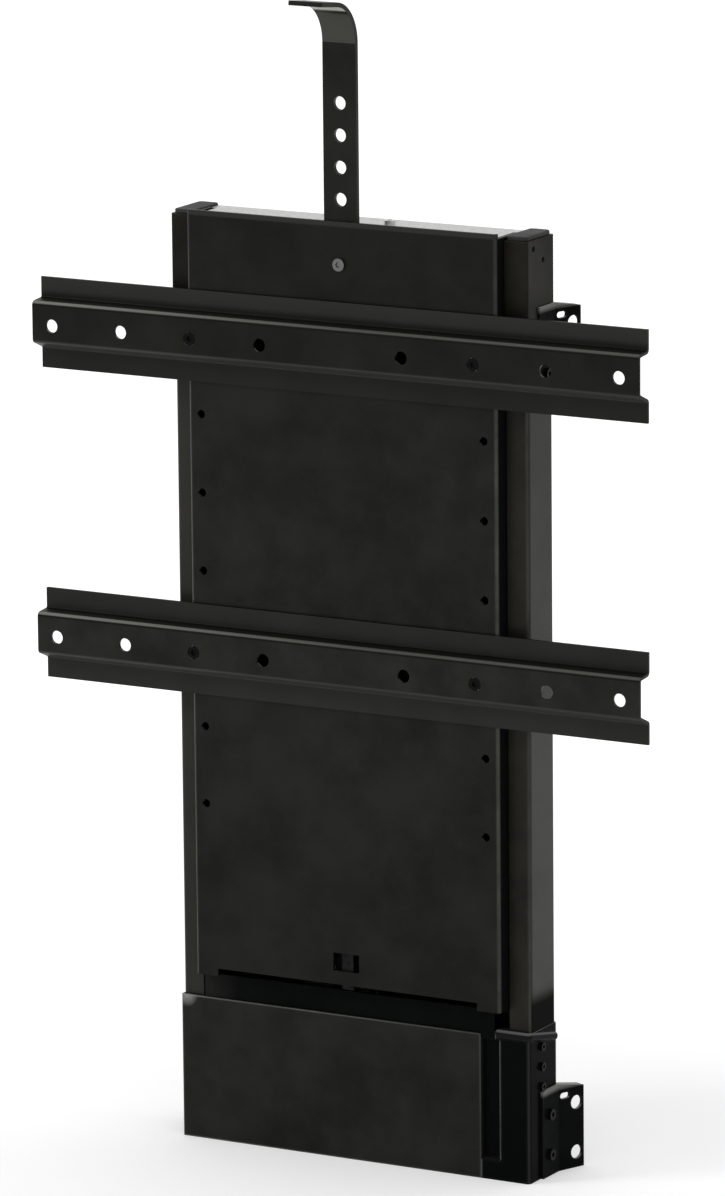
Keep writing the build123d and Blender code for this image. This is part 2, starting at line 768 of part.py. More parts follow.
# Control unit: an open case with its board on posts
case_right_x = case_x + case_length
case_top = base_plate_thickness + case_height
post_inset = case_wall + 2 * post_radius
post_places = [
    (x, y)
    for x in (case_x + post_inset, case_right_x - post_inset)
    for y in (post_inset - case_depth / 2, case_depth / 2 - post_inset)
]
with BuildPart() as control_case:
    block((case_x, case_right_x), (-case_depth / 2, case_depth / 2), (base_plate_thickness, case_top))
    block((case_x + case_wall, case_right_x - case_wall),
          (case_wall - case_depth / 2, case_depth / 2 - case_wall),
          (base_plate_thickness + case_wall, case_top + 1), Mode.SUBTRACT)
    for x, y in post_places:
        rod(seat_up(x, y, base_plate_thickness + case_wall), post_radius, post_height - case_wall, 0)
write(control_case, "control_case")

board_edge = case_wall + board_gap
board_half = case_depth / 2 - board_edge
board_top = board_z + board_sheet
connector_right = case_right_x - connector_inset
connector_top = board_top + connector_height
with BuildPart() as control_board:
    block((case_x + board_edge, case_right_x - board_edge), (-board_half, board_half), (board_z, board_top))
    block((connector_right - connector_width, connector_right), (0, connector_depth),
          (board_top, connector_top))
    for relay_x in (case_x + relay_inset, case_x + relay_inset + relay_pitch):
        block((relay_x, relay_x + relay_width), (-relay_depth / 2, relay_depth / 2),
              (board_top, board_top + relay_height))
    rod(seat_up(case_x + capacitor_inset, -capacitor_radius, board_top), capacitor_radius,
        capacitor_height, 0)
write(control_board, "control_board")

# Round power inlet in the left end, with its centre pin
inlet_seat = seat_side(-1, column_half, inlet_y, inlet_level)
with BuildPart() as power_inlet:
    rod(inlet_seat, inlet_radius, 0, inlet_depth)
    rod(inlet_seat, inlet_bore, 1, inlet_recess, Mode.SUBTRACT)
    rod(inlet_seat.offset(-inlet_recess), inlet_pin_radius, inlet_recess - 1, 0)
write(power_inlet, "power_inlet")

# Motor lead, from the board's connector over the screw to the motor
lead_start_x = connector_right - connector_width / 2
lead_start_y = connector_depth / 2
lead_end_x = motor_tail_x - lead_from_tail
lead_level = top_under_z - lead_below_top
lead_route = [
    (lead_start_x, lead_start_y, connector_top),
    (lead_start_x, lead_start_y, connector_top + 28),
    (lead_start_x + 18, lead_start_y + 4, lead_level - 7.5),
    (10, 10.5, lead_level),
    (48, 8.5, lead_level - 1.5),
    (lead_end_x - 16, 4, lead_level - 4.5),
    (lead_end_x - 3, 1.2, lead_level - 8.5),
    (lead_end_x, 0, gear_apex_height + motor_radius + lead_end_gap),
]


# Each bend is as large as its two runs allow
def bend_radii(route, share):
    points = [Vector(*point) for point in route]
    radii = []
    for before, corner, after in zip(points, points[1:], points[2:]):
        turn = (corner - before).get_angle(after - corner)
        run = min((corner - before).length, (after - corner).length)
        radii.append(share * run / tan(radians(turn) / 2))
    return radii


lead_radii = bend_radii(lead_route, lead_bend_share)
with BuildPart() as motor_lead:
    with BuildLine() as lead_path:
        FilletPolyline(*lead_route, radius=lead_radii)
    with BuildSketch(Plane(origin=lead_path.line @ 0, z_dir=lead_path.line % 0)):
        Circle(lead_radius)
    sweep()
write(motor_lead, "motor_lead")

# Rubber buffers and the lower end sensor, under the mast's rear web
stop_y = (column_inner_back - glide_clearance - buffer_depth, column_inner_back - glide_clearance)
with BuildPart() as mast_buffers:
    for side in (-1, 1):
        middle = side * (mast_half - buffer_from_side)
        block((middle - buffer_width / 2, middle + buffer_width / 2), stop_y, (base_height, stop_top))
    fillet(mast_buffers.faces().filter_by(Plane.XY).sort_by(Axis.Z)[-2:].edges(), glide_clearance * 4)
write(mast_buffers, "mast_buffers")

sensor_x = sensor_from_side - mast_half
with BuildPart() as limit_sensor:
    block((sensor_x - sensor_width / 2, sensor_x + sensor_width / 2), stop_y, (base_height, stop_top))
    fillet(limit_sensor.edges().filter_by(Axis.Z), glide_clearance * 4)
write(limit_sensor, "limit_sensor")

# Anchor of the belt's rear run, on the column's rear wall
belt_rear = (belt_inner, belt_outer)
anchor_half = belt_width / 2
anchor_front = belt_inner - anchor_grip
anchor_top = anchor_bottom + anchor_height
belt_low_end = anchor_bottom + anchor_foot
with BuildPart() as belt_anchor:
    block((-anchor_half, anchor_half), (anchor_front, column_inner_back), (anchor_bottom, anchor_top))
    block((-anchor_half, anchor_half), belt_rear, (belt_low_end, anchor_top), Mode.SUBTRACT)
    for side in (-1, 1):
        flat_screw(seat_front(side * anchor_screw_x, anchor_front, anchor_screw_z), m4_radius,
                   belt_width, m4_head_radius, 0, Mode.SUBTRACT)
write(belt_anchor, "belt_anchor")

with BuildPart() as belt_anchor_screws:
    for side in (-1, 1):
        flat_screw(seat_front(side * anchor_screw_x, anchor_front, anchor_screw_z), m4_radius,
                   back_y - anchor_front, m4_head_radius)
write(belt_anchor_screws, "belt_anchor_screws")

# Mast channel, slotted at the back for the belt's anchor
slot_half = cheek_x + mast_slot_clearance
nut_ear_half = nut_block_width / 2 + nut_ear
nut_screw_seats = [
    seat_front(side * (nut_ear_half - nut_ear / 2), mast_inner_back - nut_ear_thickness, level)
    for side in (-1, 1)
    for level in (nut_bottom + nut_screw_inset, nut_bottom + nut_block_height - nut_screw_inset)
]
with BuildPart() as mast_channel:
    with BuildSketch(Plane.XY.offset(mast_bottom)):
        with Locations((0, mast_middle_y)):
            RectangleRounded(2 * mast_half, mast_back_y - mast_front_y, inner_bend + mast_sheet)
            RectangleRounded(2 * mast_inner_half, mast_inner_back - mast_inner_front,
                             inner_bend, mode=Mode.SUBTRACT)
        with Locations((0, mast_front_y)):
            Rectangle(2 * mast_lip_x, 2 * mast_sheet + inner_bend, mode=Mode.SUBTRACT)
    extrude(amount=mast_height)
    block((-slot_half, slot_half), (0, column_width), (slot_bottom, mast_top + 1), Mode.SUBTRACT)
    for seat in nut_screw_seats:
        rod(seat, m4_radius, 0, 4 * nut_ear_thickness, Mode.SUBTRACT)
write(mast_channel, "mast_channel")

# Bright plate across the mast's top; its ears sit on the channel
cheek_screw_x = cheek_x + cheek_sheet + cheek_ear / 2
plate_half = panel_inner_half - mast_plate_side_gap
with BuildPart() as mast_top_plate:
    block((-plate_half, plate_half), (mast_front_y - mast_plate_overhang, mast_back_y),
          (mast_top, mast_top + mast_plate_sheet))
    block((-mast_half, mast_half), (mast_back_y - mast_ear_depth, mast_back_y),
          (mast_top, mast_top + mast_plate_sheet))
    for side in (-1, 1):
        rod(seat_up(side * cheek_screw_x, 0, mast_top), m4_radius, mast_plate_sheet + 1, 1, Mode.SUBTRACT)
write(mast_top_plate, "mast_top_plate")

# Plastic cap over each top corner of the mast; it closes the collar when the lift is down
plate_level = mast_top + mast_plate_sheet
with BuildPart() as mast_end_caps:
    block((lip_edge_x, collar_x - mast_cap_inset),
          (collar_front_y + mast_cap_inset, collar_back_y - mast_cap_inset),
          (collar_level + mast_cap_gap, plate_level + mast_cap_above_plate))
    fillet(mast_end_caps.edges().filter_by(Axis.Z), mast_cap_round)
    fillet(mast_end_caps.faces().sort_by(Axis.Z)[-1].edges(), mast_cap_edge)
    block((0, mast_half + mast_cap_gap),
          (mast_back_y - mast_ear_depth - mast_cap_gap, mast_back_y + mast_cap_gap),
          (mast_bottom, plate_level), Mode.SUBTRACT)
    mirror(about=Plane.YZ)
write(mast_end_caps, "mast_end_caps")

# Glides round the mast's foot, which run inside the column
with BuildPart() as mast_glides:
    with BuildSketch(Plane.XY.offset(mast_bottom + mast_glide_above_foot)):
        with Locations((0, column_middle_y)):
            RectangleRounded(2 * (column_inner_half - glide_clearance),
                             column_depth - 2 * column_sheet - 2 * glide_clearance,
                             inner_bend + glide_clearance)
        with Locations((0, mast_middle_y)):
            Rectangle(2 * mast_half, mast_back_y - mast_front_y, mode=Mode.SUBTRACT)
        Rectangle(2 * (column_inner_half - glide_lap), column_width, mode=Mode.SUBTRACT)
    extrude(amount=mast_glide_height)
write(mast_glides, "mast_glides")

# Nut block on the mast's web, its bronze nut, and the screws of both
nut_body_radius = screw_radius + nut_wall
with BuildPart() as nut_block:
    block((-nut_block_width / 2, nut_block_width / 2), (-nut_body_radius - nut_block_wall, mast_inner_back),
          (nut_bottom, nut_bottom + nut_block_height))
    block((-nut_ear_half, nut_ear_half), (mast_inner_back - nut_ear_thickness, mast_inner_back),
          (nut_bottom, nut_bottom + nut_block_height))
    rod(seat_up(0, 0, nut_bottom), nut_body_radius, nut_block_height + 1, 1, Mode.SUBTRACT)
    for seat in nut_screw_seats:
        rod(seat, m4_radius, 1, 2 * nut_ear_thickness, Mode.SUBTRACT)
write(nut_block, "nut_block")

with BuildPart() as lead_nut:
    rod(seat_up(0, 0, nut_bottom), nut_body_radius, nut_block_height, 0)
    rod(seat_up(0, 0, nut_bottom), nut_body_radius + nut_flange, 0, nut_flange_thickness)
    rod(seat_up(0, 0, nut_bottom), screw_radius + nut_clearance, nut_block_height + 1,
        nut_flange_thickness + 1, Mode.SUBTRACT)
write(lead_nut, "lead_nut")

with BuildPart() as mast_screws:
    for seat in nut_screw_seats:
        socket_screw(seat, m4_radius, nut_ear_thickness + mast_sheet, m4_head_radius, m4_head_height)
    for side in (-1, 1):
        socket_screw(seat_up(side * cheek_screw_x, 0, mast_top + mast_plate_sheet), m4_radius,
                     mast_plate_sheet + cheek_sheet, m4_head_radius, m4_head_height)
write(mast_screws, "mast_screws")

# Cheeks under the top plate, the axle through them, the pulley and its bush
axle_z = pulley_z
with BuildPart() as pulley_cheeks:
    for side in (-1, 1):
        block((side * cheek_x, side * (cheek_x + cheek_sheet)), (-cheek_depth / 2, cheek_depth / 2),
              (mast_top - cheek_drop, mast_top))
        block((side * cheek_x, side * (cheek_x + cheek_sheet + cheek_ear)),
              (-cheek_depth / 2, cheek_depth / 2),
              (mast_top - cheek_sheet, mast_top))
        rod(seat_up(side * cheek_screw_x, 0, mast_top), m4_radius, 1, 2 * cheek_sheet, Mode.SUBTRACT)
    rod(seat_side(1, 0, 0, axle_z), axle_radius, column_half, column_half, Mode.SUBTRACT)
write(pulley_cheeks, "pulley_cheeks")

axle_half = cheek_x + cheek_sheet
with BuildPart() as pulley_axle:
    rod(seat_side(1, 0, 0, axle_z), axle_radius, axle_half, axle_half)
    for side in (-1, 1):
        rod(seat_side(side, axle_half, 0, axle_z), axle_head_radius, axle_head, 0)
write(pulley_axle, "pulley_axle")

bush_radius = axle_radius + bush_wall
with BuildPart() as pulley_bush:
    rod(seat_side(1, 0, 0, axle_z), bush_radius, pulley_half + pulley_boss, pulley_half + pulley_boss)
    rod(seat_side(1, 0, 0, axle_z), axle_radius + running_clearance, column_half, column_half,
        Mode.SUBTRACT)
write(pulley_bush, "pulley_bush")

groove_half = pulley_half - pulley_flange
with BuildPart() as belt_pulley:
    rod(seat_side(1, 0, 0, axle_z), pulley_radius, pulley_half, pulley_half)
    rod(seat_side(1, 0, 0, axle_z), bush_radius + bush_wall, pulley_half + pulley_boss,
        pulley_half + pulley_boss)
    for side in (-1, 1):
        rod(seat_side(side, groove_half, 0, axle_z), pulley_radius + pulley_flange, pulley_flange, 0)
    rod(seat_side(1, 0, 0, axle_z), bush_radius, column_half, column_half, Mode.SUBTRACT)
write(belt_pulley, "belt_pulley")

# The belt: front run, half turn over the pulley, rear run
belt_half = belt_width / 2
belt_front_end = clamp_bottom + clamp_above_edge
with BuildPart() as lift_belt_wrap:
    rod(seat_side(1, 0, 0, axle_z), belt_outer, belt_half, belt_half)
    rod(seat_side(1, 0, 0, axle_z), belt_inner, belt_width, belt_width, Mode.SUBTRACT)
    block((-belt_width, belt_width), (-column_depth, column_depth), (mast_bottom, pulley_z), Mode.SUBTRACT)
write(lift_belt_wrap, "lift_belt_wrap")

with BuildPart() as lift_belt_front:
    block((-belt_half, belt_half), (-belt_outer, -belt_inner), (belt_front_end, pulley_z))
write(lift_belt_front, "lift_belt_front")

with BuildPart() as lift_belt_rear:
    block((-belt_half, belt_half), belt_rear, (belt_low_end, pulley_z))
write(lift_belt_rear, "lift_belt_rear")

# Front panel of the carriage, folded back at both sides
panel_hole_places = [
    (side * rail_fixing_x, rail_upper_z - row * panel_hole_pitch)
    for side in (-1, 1)
    for row in range(panel_hole_rows)
]
panel_depth_middle = panel_front_y + panel_flange
with BuildPart() as front_panel:
    with BuildSketch(Plane.XY.offset(panel_bottom)):
        with Locations((0, panel_depth_middle)):
            RectangleRounded(2 * panel_half, 2 * panel_flange, inner_bend + panel_sheet)
            RectangleRounded(2 * panel_inner_half, 2 * (panel_flange - panel_sheet), inner_bend,
                             mode=Mode.SUBTRACT)
        with Locations((0, panel_depth_middle + panel_flange)):
            Rectangle(2 * column_width, 2 * panel_flange, mode=Mode.SUBTRACT)
    extrude(amount=panel_height)
    with BuildSketch(Plane.XZ.offset(-panel_back_y)):
        with Locations(*panel_hole_places, (0, strap_screw_z)):
            Circle(panel_hole_diameter / 2)
        with Locations((0, panel_bottom + window_above_edge)):
            Rectangle(window_width, window_height)
        with Locations((0, panel_bottom)):
            Rectangle(2 * (panel_half - panel_notch_from_edge), 2 * panel_notch_height)
    extrude(amount=panel_sheet, mode=Mode.SUBTRACT)
    block((-column_width, column_width), (panel_back_y + inner_bend, column_width),
          (panel_top - panel_flange_below_top, panel_top + 1), Mode.SUBTRACT)
write(front_panel, "front_panel")


# Hat-section rail across the panel, its web towards the television
def tv_rail(row, name):
    with BuildPart() as rail:
        with BuildSketch(Plane.YZ):
            with BuildLine():
                FilletPolyline((panel_front_y - rail_sheet, row + rail_height / 2),
                               (panel_front_y - rail_sheet, row + rail_shelf_above),
                               (rail_front_y, row + rail_web_above),
                               (rail_front_y, row - rail_web_below),
                               (panel_front_y - rail_sheet, row - rail_shelf_above),
                               (panel_front_y - rail_sheet, row - rail_height / 2),
                               radius=(inner_bend, inner_bend + rail_sheet,
                                       inner_bend + rail_sheet, inner_bend))
                offset(amount=rail_sheet, side=Side.LEFT)
            make_face()
        extrude(amount=rail_length / 2, both=True)
        hole_places = [
            (side * hole_x, row)
            for side in (-1, 1)
            for hole_x in (rail_inner_hole, rail_fixing_x, rail_third_hole, rail_outer_hole)
        ]
        with BuildSketch(Plane.XZ.offset(-rail_web_back)):
            with Locations(*hole_places):
                Circle(rail_hole_diameter / 2)
        extrude(amount=rail_sheet, mode=Mode.SUBTRACT)
    write(rail, name)


tv_rail(rail_rows[0], "tv_rail_upper")
tv_rail(rail_rows[1], "tv_rail_lower")

# Spacer tubes, screws and nuts that hold the rails to the panel
rail_fixing_places = [(side * rail_fixing_x, row) for side in (-1, 1) for row in rail_rows]
with BuildPart() as rail_spacers:
    for x, z in rail_fixing_places:
        rod(seat_front(x, rail_web_back, z), spacer_radius, 0, panel_front_y - rail_web_back)
        rod(seat_front(x, rail_web_back, z), m5_radius + hole_clearance, 1, rail_depth, Mode.SUBTRACT)
write(rail_spacers, "rail_spacers")

rail_screw_length = panel_back_y - rail_web_back + rail_nut_height
with BuildPart() as rail_screws:
    for x, z in rail_fixing_places:
        socket_screw(seat_front(x, rail_web_back, z), m5_radius, rail_screw_length,
                     m5_head_radius, m5_head_height)
write(rail_screws, "rail_screws")


# A hexagon nut between two depths, with its threaded hole
def hexagon_nut(x, z, front_y, height):
    with BuildSketch(Plane.XZ.offset(-front_y)) as hexagon:
        with Locations((x, z)):
            RegularPolygon(nut_radius, 6)
            Circle(m5_radius, mode=Mode.SUBTRACT)
    extrude(hexagon.sketch, amount=-height)


strap_back_y = panel_back_y + strap_thickness
with BuildPart() as panel_nuts:
    for x, z in rail_fixing_places:
        hexagon_nut(x, z, panel_back_y, rail_nut_height)
    hexagon_nut(0, strap_screw_z, strap_back_y, strap_nut_height)
write(panel_nuts, "panel_nuts")

# Goose-neck strap on the panel's back, which pushes the cabinet lid open
strap_bottom = panel_top - strap_lap
strap_hole_places = [(0, strap_first_z + index * strap_hole_pitch) for index in range(strap_hole_count)]
with BuildPart() as goose_neck_strap:
    with BuildSketch(Plane.YZ):
        with BuildLine():
            rise = Line((panel_back_y, strap_bottom), (panel_back_y, panel_top + strap_straight_above))
            curl = JernArc(rise @ 1, rise % 1, strap_bend_radius, strap_bend_angle)
            Line(curl @ 1, curl @ 1 + (curl % 1) * strap_tip)
            offset(amount=strap_thickness, side=Side.RIGHT)
        make_face()
    extrude(amount=strap_width / 2, both=True)
    tip_edges = goose_neck_strap.faces().sort_by(Axis.Y)[0].edges().filter_by(Axis.X, reverse=True)
    fillet(tip_edges, strap_corner)
    with BuildSketch(Plane.XZ.offset(-strap_back_y)):
        with Locations(*strap_hole_places):
            Circle(strap_hole_diameter / 2)
        with Locations((0, strap_screw_z)):
            Circle(panel_hole_diameter / 2)
    extrude(amount=strap_thickness, mode=Mode.SUBTRACT)
write(goose_neck_strap, "goose_neck_strap")

strap_screw_length = panel_sheet + strap_thickness + strap_nut_height
with BuildPart() as strap_screw:
    socket_screw(seat_front(0, panel_front_y, strap_screw_z), m5_radius, strap_screw_length,
                 m5_head_radius, m5_head_height)
write(strap_screw, "strap_screw")

# Glides on the panel's folds, which run inside the mast
with BuildPart() as carriage_glides:
    for side in (-1, 1):
        for level in (carriage_glide_low, carriage_glide_high):
            block((side * panel_half, side * (mast_inner_half - glide_clearance)),
                  (mast_inner_front + glide_clearance, mast_inner_back - glide_clearance),
                  (panel_bottom + level, panel_bottom + level + carriage_glide_height))
    upright_edges = carriage_glides.edges().filter_by(Axis.Z)
    fillet(upright_edges.filter_by(lambda edge: abs(edge.center().X) > panel_half + glide_clearance),
           inner_bend + glide_clearance)
write(carriage_glides, "carriage_glides")

# Clamp that ties the belt's front run to the panel
clamp_mid_z = clamp_bottom + clamp_bar_height / 2
clamp_half = clamp_width / 2
clamp_plate_z = (clamp_mid_z - clamp_plate_height / 2, clamp_mid_z + clamp_plate_height / 2)
clamp_screw_x = (belt_half + clamp_half) / 2
clamp_back_y = clamp_plate_sheet - belt_inner
clamp_seats = [
    seat_back(side * clamp_screw_x, clamp_back_y, clamp_mid_z + step)
    for side in (-1, 1)
    for step in (-clamp_plate_height / 4, clamp_plate_height / 4)
]
with BuildPart() as belt_clamp_bar:
    block((-clamp_nose / 2, clamp_nose / 2), (panel_back_y, -belt_outer),
          (clamp_bottom, clamp_bottom + clamp_bar_height))
    block((-clamp_half, clamp_half), (-belt_outer - clamp_back, -belt_outer), clamp_plate_z)
    for seat in clamp_seats:
        rod(seat, m3_radius, 0, clamp_plate_sheet + belt_thickness + clamp_back, Mode.SUBTRACT)
write(belt_clamp_bar, "belt_clamp_bar")

with BuildPart() as belt_clamp_plate:
    block((-clamp_half, clamp_half), (-belt_inner, clamp_back_y), clamp_plate_z)
    for seat in clamp_seats:
        flat_screw(seat, m3_radius, clamp_plate_sheet + 1, m3_head_radius, 0, Mode.SUBTRACT)
write(belt_clamp_plate, "belt_clamp_plate")

with BuildPart() as belt_clamp_screws:
    for seat in clamp_seats:
        flat_screw(seat, m3_radius, clamp_plate_sheet + belt_thickness + clamp_back, m3_head_radius)
write(belt_clamp_screws, "belt_clamp_screws")
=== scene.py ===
import bpy
import json
from math import cos, pi, radians, sin
from mathutils import Matrix, Vector


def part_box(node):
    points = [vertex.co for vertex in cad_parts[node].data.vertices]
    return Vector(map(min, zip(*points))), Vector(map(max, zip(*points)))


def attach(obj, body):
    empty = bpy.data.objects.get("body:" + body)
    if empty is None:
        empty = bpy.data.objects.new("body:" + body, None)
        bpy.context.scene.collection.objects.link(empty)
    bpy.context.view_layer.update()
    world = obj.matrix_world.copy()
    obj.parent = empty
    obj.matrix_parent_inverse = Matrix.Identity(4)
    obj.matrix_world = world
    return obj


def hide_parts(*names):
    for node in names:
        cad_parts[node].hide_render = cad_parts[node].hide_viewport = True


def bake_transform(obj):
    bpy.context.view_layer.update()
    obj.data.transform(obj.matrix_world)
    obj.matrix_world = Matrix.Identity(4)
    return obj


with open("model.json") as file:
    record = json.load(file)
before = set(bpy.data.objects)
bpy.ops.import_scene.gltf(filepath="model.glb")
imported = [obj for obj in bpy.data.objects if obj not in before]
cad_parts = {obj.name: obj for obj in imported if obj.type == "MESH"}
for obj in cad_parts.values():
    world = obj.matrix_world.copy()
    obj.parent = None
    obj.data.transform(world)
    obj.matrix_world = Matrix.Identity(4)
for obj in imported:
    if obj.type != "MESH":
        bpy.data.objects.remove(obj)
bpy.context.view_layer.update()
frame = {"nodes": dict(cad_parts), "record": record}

nodes = frame["nodes"]
millimetre = 0.001

# Between these limits a noise goes from its low value to its high one
noiseLimits = {"narrow": (0.35, 0.65), "wide": (0.3, 0.7), "patchy": (0.3, 0.6), "specks": (0.5, 0.75)}
# How closely two normals agree at an edge with wear and a painted highlight, and away from it
edgeLimits = (0.86, 0.995)
# How straight a face looks along one axis in a bend with wear and a painted highlight, and away from
# it
bendLimits = (0.84, 0.992)
# How far sideways a face looks where a band for the sides starts and where it is full
sideLimits = (0.7, 0.95)
bevelSamples = 8


# Colours are picked, 0 to 255, and shaders want linear light
def picked(red, green, blue):
    linear = []
    for part in (red / 255, green / 255, blue / 255):
        linear.append(part / 12.92 if part <= 0.04045 else ((part + 0.055) / 1.055) ** 2.4)
    return (*linear, 1.0)


def newMaterial(name):
    material = bpy.data.materials.new(name)
    material.use_nodes = True
    tree = material.node_tree
    shader = next(node for node in tree.nodes if node.type == "BSDF_PRINCIPLED")
    return material, tree, shader


def objectPoint(tree, stretch=(1, 1, 1)):
    coordinates = tree.nodes.new("ShaderNodeTexCoord")
    mapping = tree.nodes.new("ShaderNodeMapping")
    mapping.inputs["Scale"].default_value = stretch
    tree.links.new(coordinates.outputs["Object"], mapping.inputs["Vector"])
    return mapping.outputs["Vector"]


def noise(tree, point, scale, detail=2.0, roughness=0.5):
    texture = tree.nodes.new("ShaderNodeTexNoise")
    texture.inputs["Scale"].default_value = scale
    texture.inputs["Detail"].default_value = detail
    texture.inputs["Roughness"].default_value = roughness
    tree.links.new(point, texture.inputs["Vector"])
    return texture.outputs["Fac"]


# Maps a factor between two limits to a value, and holds it outside them
def spread(tree, factor, low, high, lowValue, highValue):
    if low > high:
        low, high, lowValue, highValue = high, low, highValue, lowValue
    mapRange = tree.nodes.new("ShaderNodeMapRange")
    limits = {"From Min": low, "From Max": high, "To Min": lowValue, "To Max": highValue}
    for socket, value in limits.items():
        mapRange.inputs[socket].default_value = value
    tree.links.new(factor, mapRange.inputs["Value"])
    return mapRange.outputs["Result"]


# The mix node keeps its two colours in sockets 6 and 7, and the mixed one in output 2
def mixColour(tree, factor, first, second):
    mix = tree.nodes.new("ShaderNodeMix")
    mix.data_type = "RGBA"
    for socket, value in ((6, first), (7, second)):
        if isinstance(value, tuple):
            mix.inputs[socket].default_value = value
        else:
            tree.links.new(value, mix.inputs[socket])
    tree.links.new(factor, mix.inputs[0])
    return mix.outputs[2]


def maths(tree, operation, first, second=None):
    node = tree.nodes.new("ShaderNodeMath")
    node.operation = operation
    tree.links.new(first, node.inputs[0])
    if second is not None:
        tree.links.new(second, node.inputs[1])
    return node.outputs[0]


# The second operand is another vector's socket or a fixed place
def vectorMaths(tree, operation, first, second=None):
    node = tree.nodes.new("ShaderNodeVectorMath")
    node.operation = operation
    tree.links.new(first, node.inputs[0])
    if isinstance(second, tuple):
        node.inputs[1].default_value = second
    elif second is not None:
        tree.links.new(second, node.inputs[1])
    return node.outputs["Vector" if operation == "ABSOLUTE" else "Value"]


def partOf(tree, vector, axis):
    split = tree.nodes.new("ShaderNodeSeparateXYZ")
    tree.links.new(vector, split.inputs["Vector"])
    return split.outputs[axis]


def faceNormal(tree):
    return tree.nodes.new("ShaderNodeNewGeometry").outputs["Normal"]


# The normal of a surface whose sharp edges are rounded to this radius
def roundedNormal(tree, edgeRadius):
    bevelNode = tree.nodes.new("ShaderNodeBevel")
    bevelNode.samples = bevelSamples
    bevelNode.inputs["Radius"].default_value = edgeRadius
    return bevelNode.outputs["Normal"]


# 1 on a sharp edge and 0 on the faces beside it, for edge wear with a painted highlight
def edgeWearAndSheen(tree, rounded):
    agreement = vectorMaths(tree, "DOT_PRODUCT", rounded, faceNormal(tree))
    return spread(tree, agreement, *edgeLimits, 1.0, 0.0)


# 1 where folded sheet turns between two straight faces and 0 on the faces, for bend wear with a
# painted highlight
def bendWearAndSheen(tree):
    size = vectorMaths(tree, "ABSOLUTE", faceNormal(tree))
    parts = [partOf(tree, size, axis) for axis in "XYZ"]
    straightness = maths(tree, "MAXIMUM", maths(tree, "MAXIMUM", parts[0], parts[1]), parts[2])
    return spread(tree, straightness, *bendLimits, 1.0, 0.0)


# Scales a factor by 1 up to the first limit along an axis, and by the least share past the other
def fadeAlong(tree, point, factor, axis, first, other, least=0.0):
    share = spread(tree, partOf(tree, point, axis), first, other, 1.0, least)
    return maths(tree, "MULTIPLY", factor, share)


# Roughness that swings with a noise, between two shares of its middle value
def swingRoughness(tree, factor, middle, shares):
    least, most = shares
    return spread(tree, factor, *noiseLimits["wide"], middle * least, min(1.0, middle * most))


# A band of tone. A coat goes over to its shade where the coat's place in metres, or the way
# its face looks, goes from none to full
def tone(by, axis, none, full, shade, share, **more):
    return dict(more, by=by, axis=axis, none=none, full=full, tone=picked(*shade), share=share)


# How much of a band's tone a point takes
def bandFactor(tree, point, band):
    vector = faceNormal(tree) if band["by"] == "facing" else point
    value = partOf(tree, vector, band["axis"])
    if band.get("bothWays"):
        value = maths(tree, "ABSOLUTE", value)
    factor = spread(tree, value, band["none"], band["full"], 0.0, band["share"])
    if band.get("sidesOnly"):
        sideways = maths(tree, "ABSOLUTE", partOf(tree, faceNormal(tree), "X"))
        factor = maths(tree, "MULTIPLY", factor, spread(tree, sideways, *sideLimits, 0.0, 1.0))
    if "before" in band:
        factor = fadeAlong(tree, point, factor, "Y", *band["before"])
    if "fade" in band:
        factor = fadeAlong(tree, point, factor, "X", *band["fade"])
    return factor


# Lays the bands over a colour, and makes the matt ones rough
def addBands(tree, point, colour, roughness, bands):
    for band in bands:
        factor = bandFactor(tree, point, band)
        colour = mixColour(tree, factor, colour, band["tone"])
        if band.get("matt"):
            roughness = maths(tree, "MAXIMUM", roughness, factor)
    return colour, roughness


# Lays the surface grain over the face, or over its rounded normal
def surfaceRelief(tree, shader, height, relief, rounded=None):
    bumpNode = tree.nodes.new("ShaderNodeBump")
    bumpNode.inputs["Strength"].default_value, bumpNode.inputs["Distance"].default_value = relief
    tree.links.new(height, bumpNode.inputs["Height"])
    if rounded is not None:
        tree.links.new(rounded, bumpNode.inputs["Normal"])
    tree.links.new(bumpNode.outputs["Normal"], shader.inputs["Normal"])


print("finishes")
finishes = {}

# Relief is the strength and the depth in metres of a surface's grain
satinCoat = {
    # Edges or bends go over to the worn tone, which is wear and a painted highlight
    "dark": picked(13, 14, 11), "light": picked(27, 28, 24), "wearSheenTone": picked(56, 56, 52),
    "gloss": 0.075, "roughOnDark": 0.44, "roughOnLight": 0.32, "edge": 0.0008,
    "cloudScale": 24, "speckleScale": 1500, "speckleShare": 0.6, "scuffScale": 60, "scuffLeast": 0.5,
    "peelScale": 850, "peelRelief": (0.12, 0.0004), "bands": (),
}

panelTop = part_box("front_panel")[1].z
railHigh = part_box("tv_rail_upper")[1]
coverLow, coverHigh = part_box("base_cover")
columnLow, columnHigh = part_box("outer_column")
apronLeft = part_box("base_top_plate")[0].x

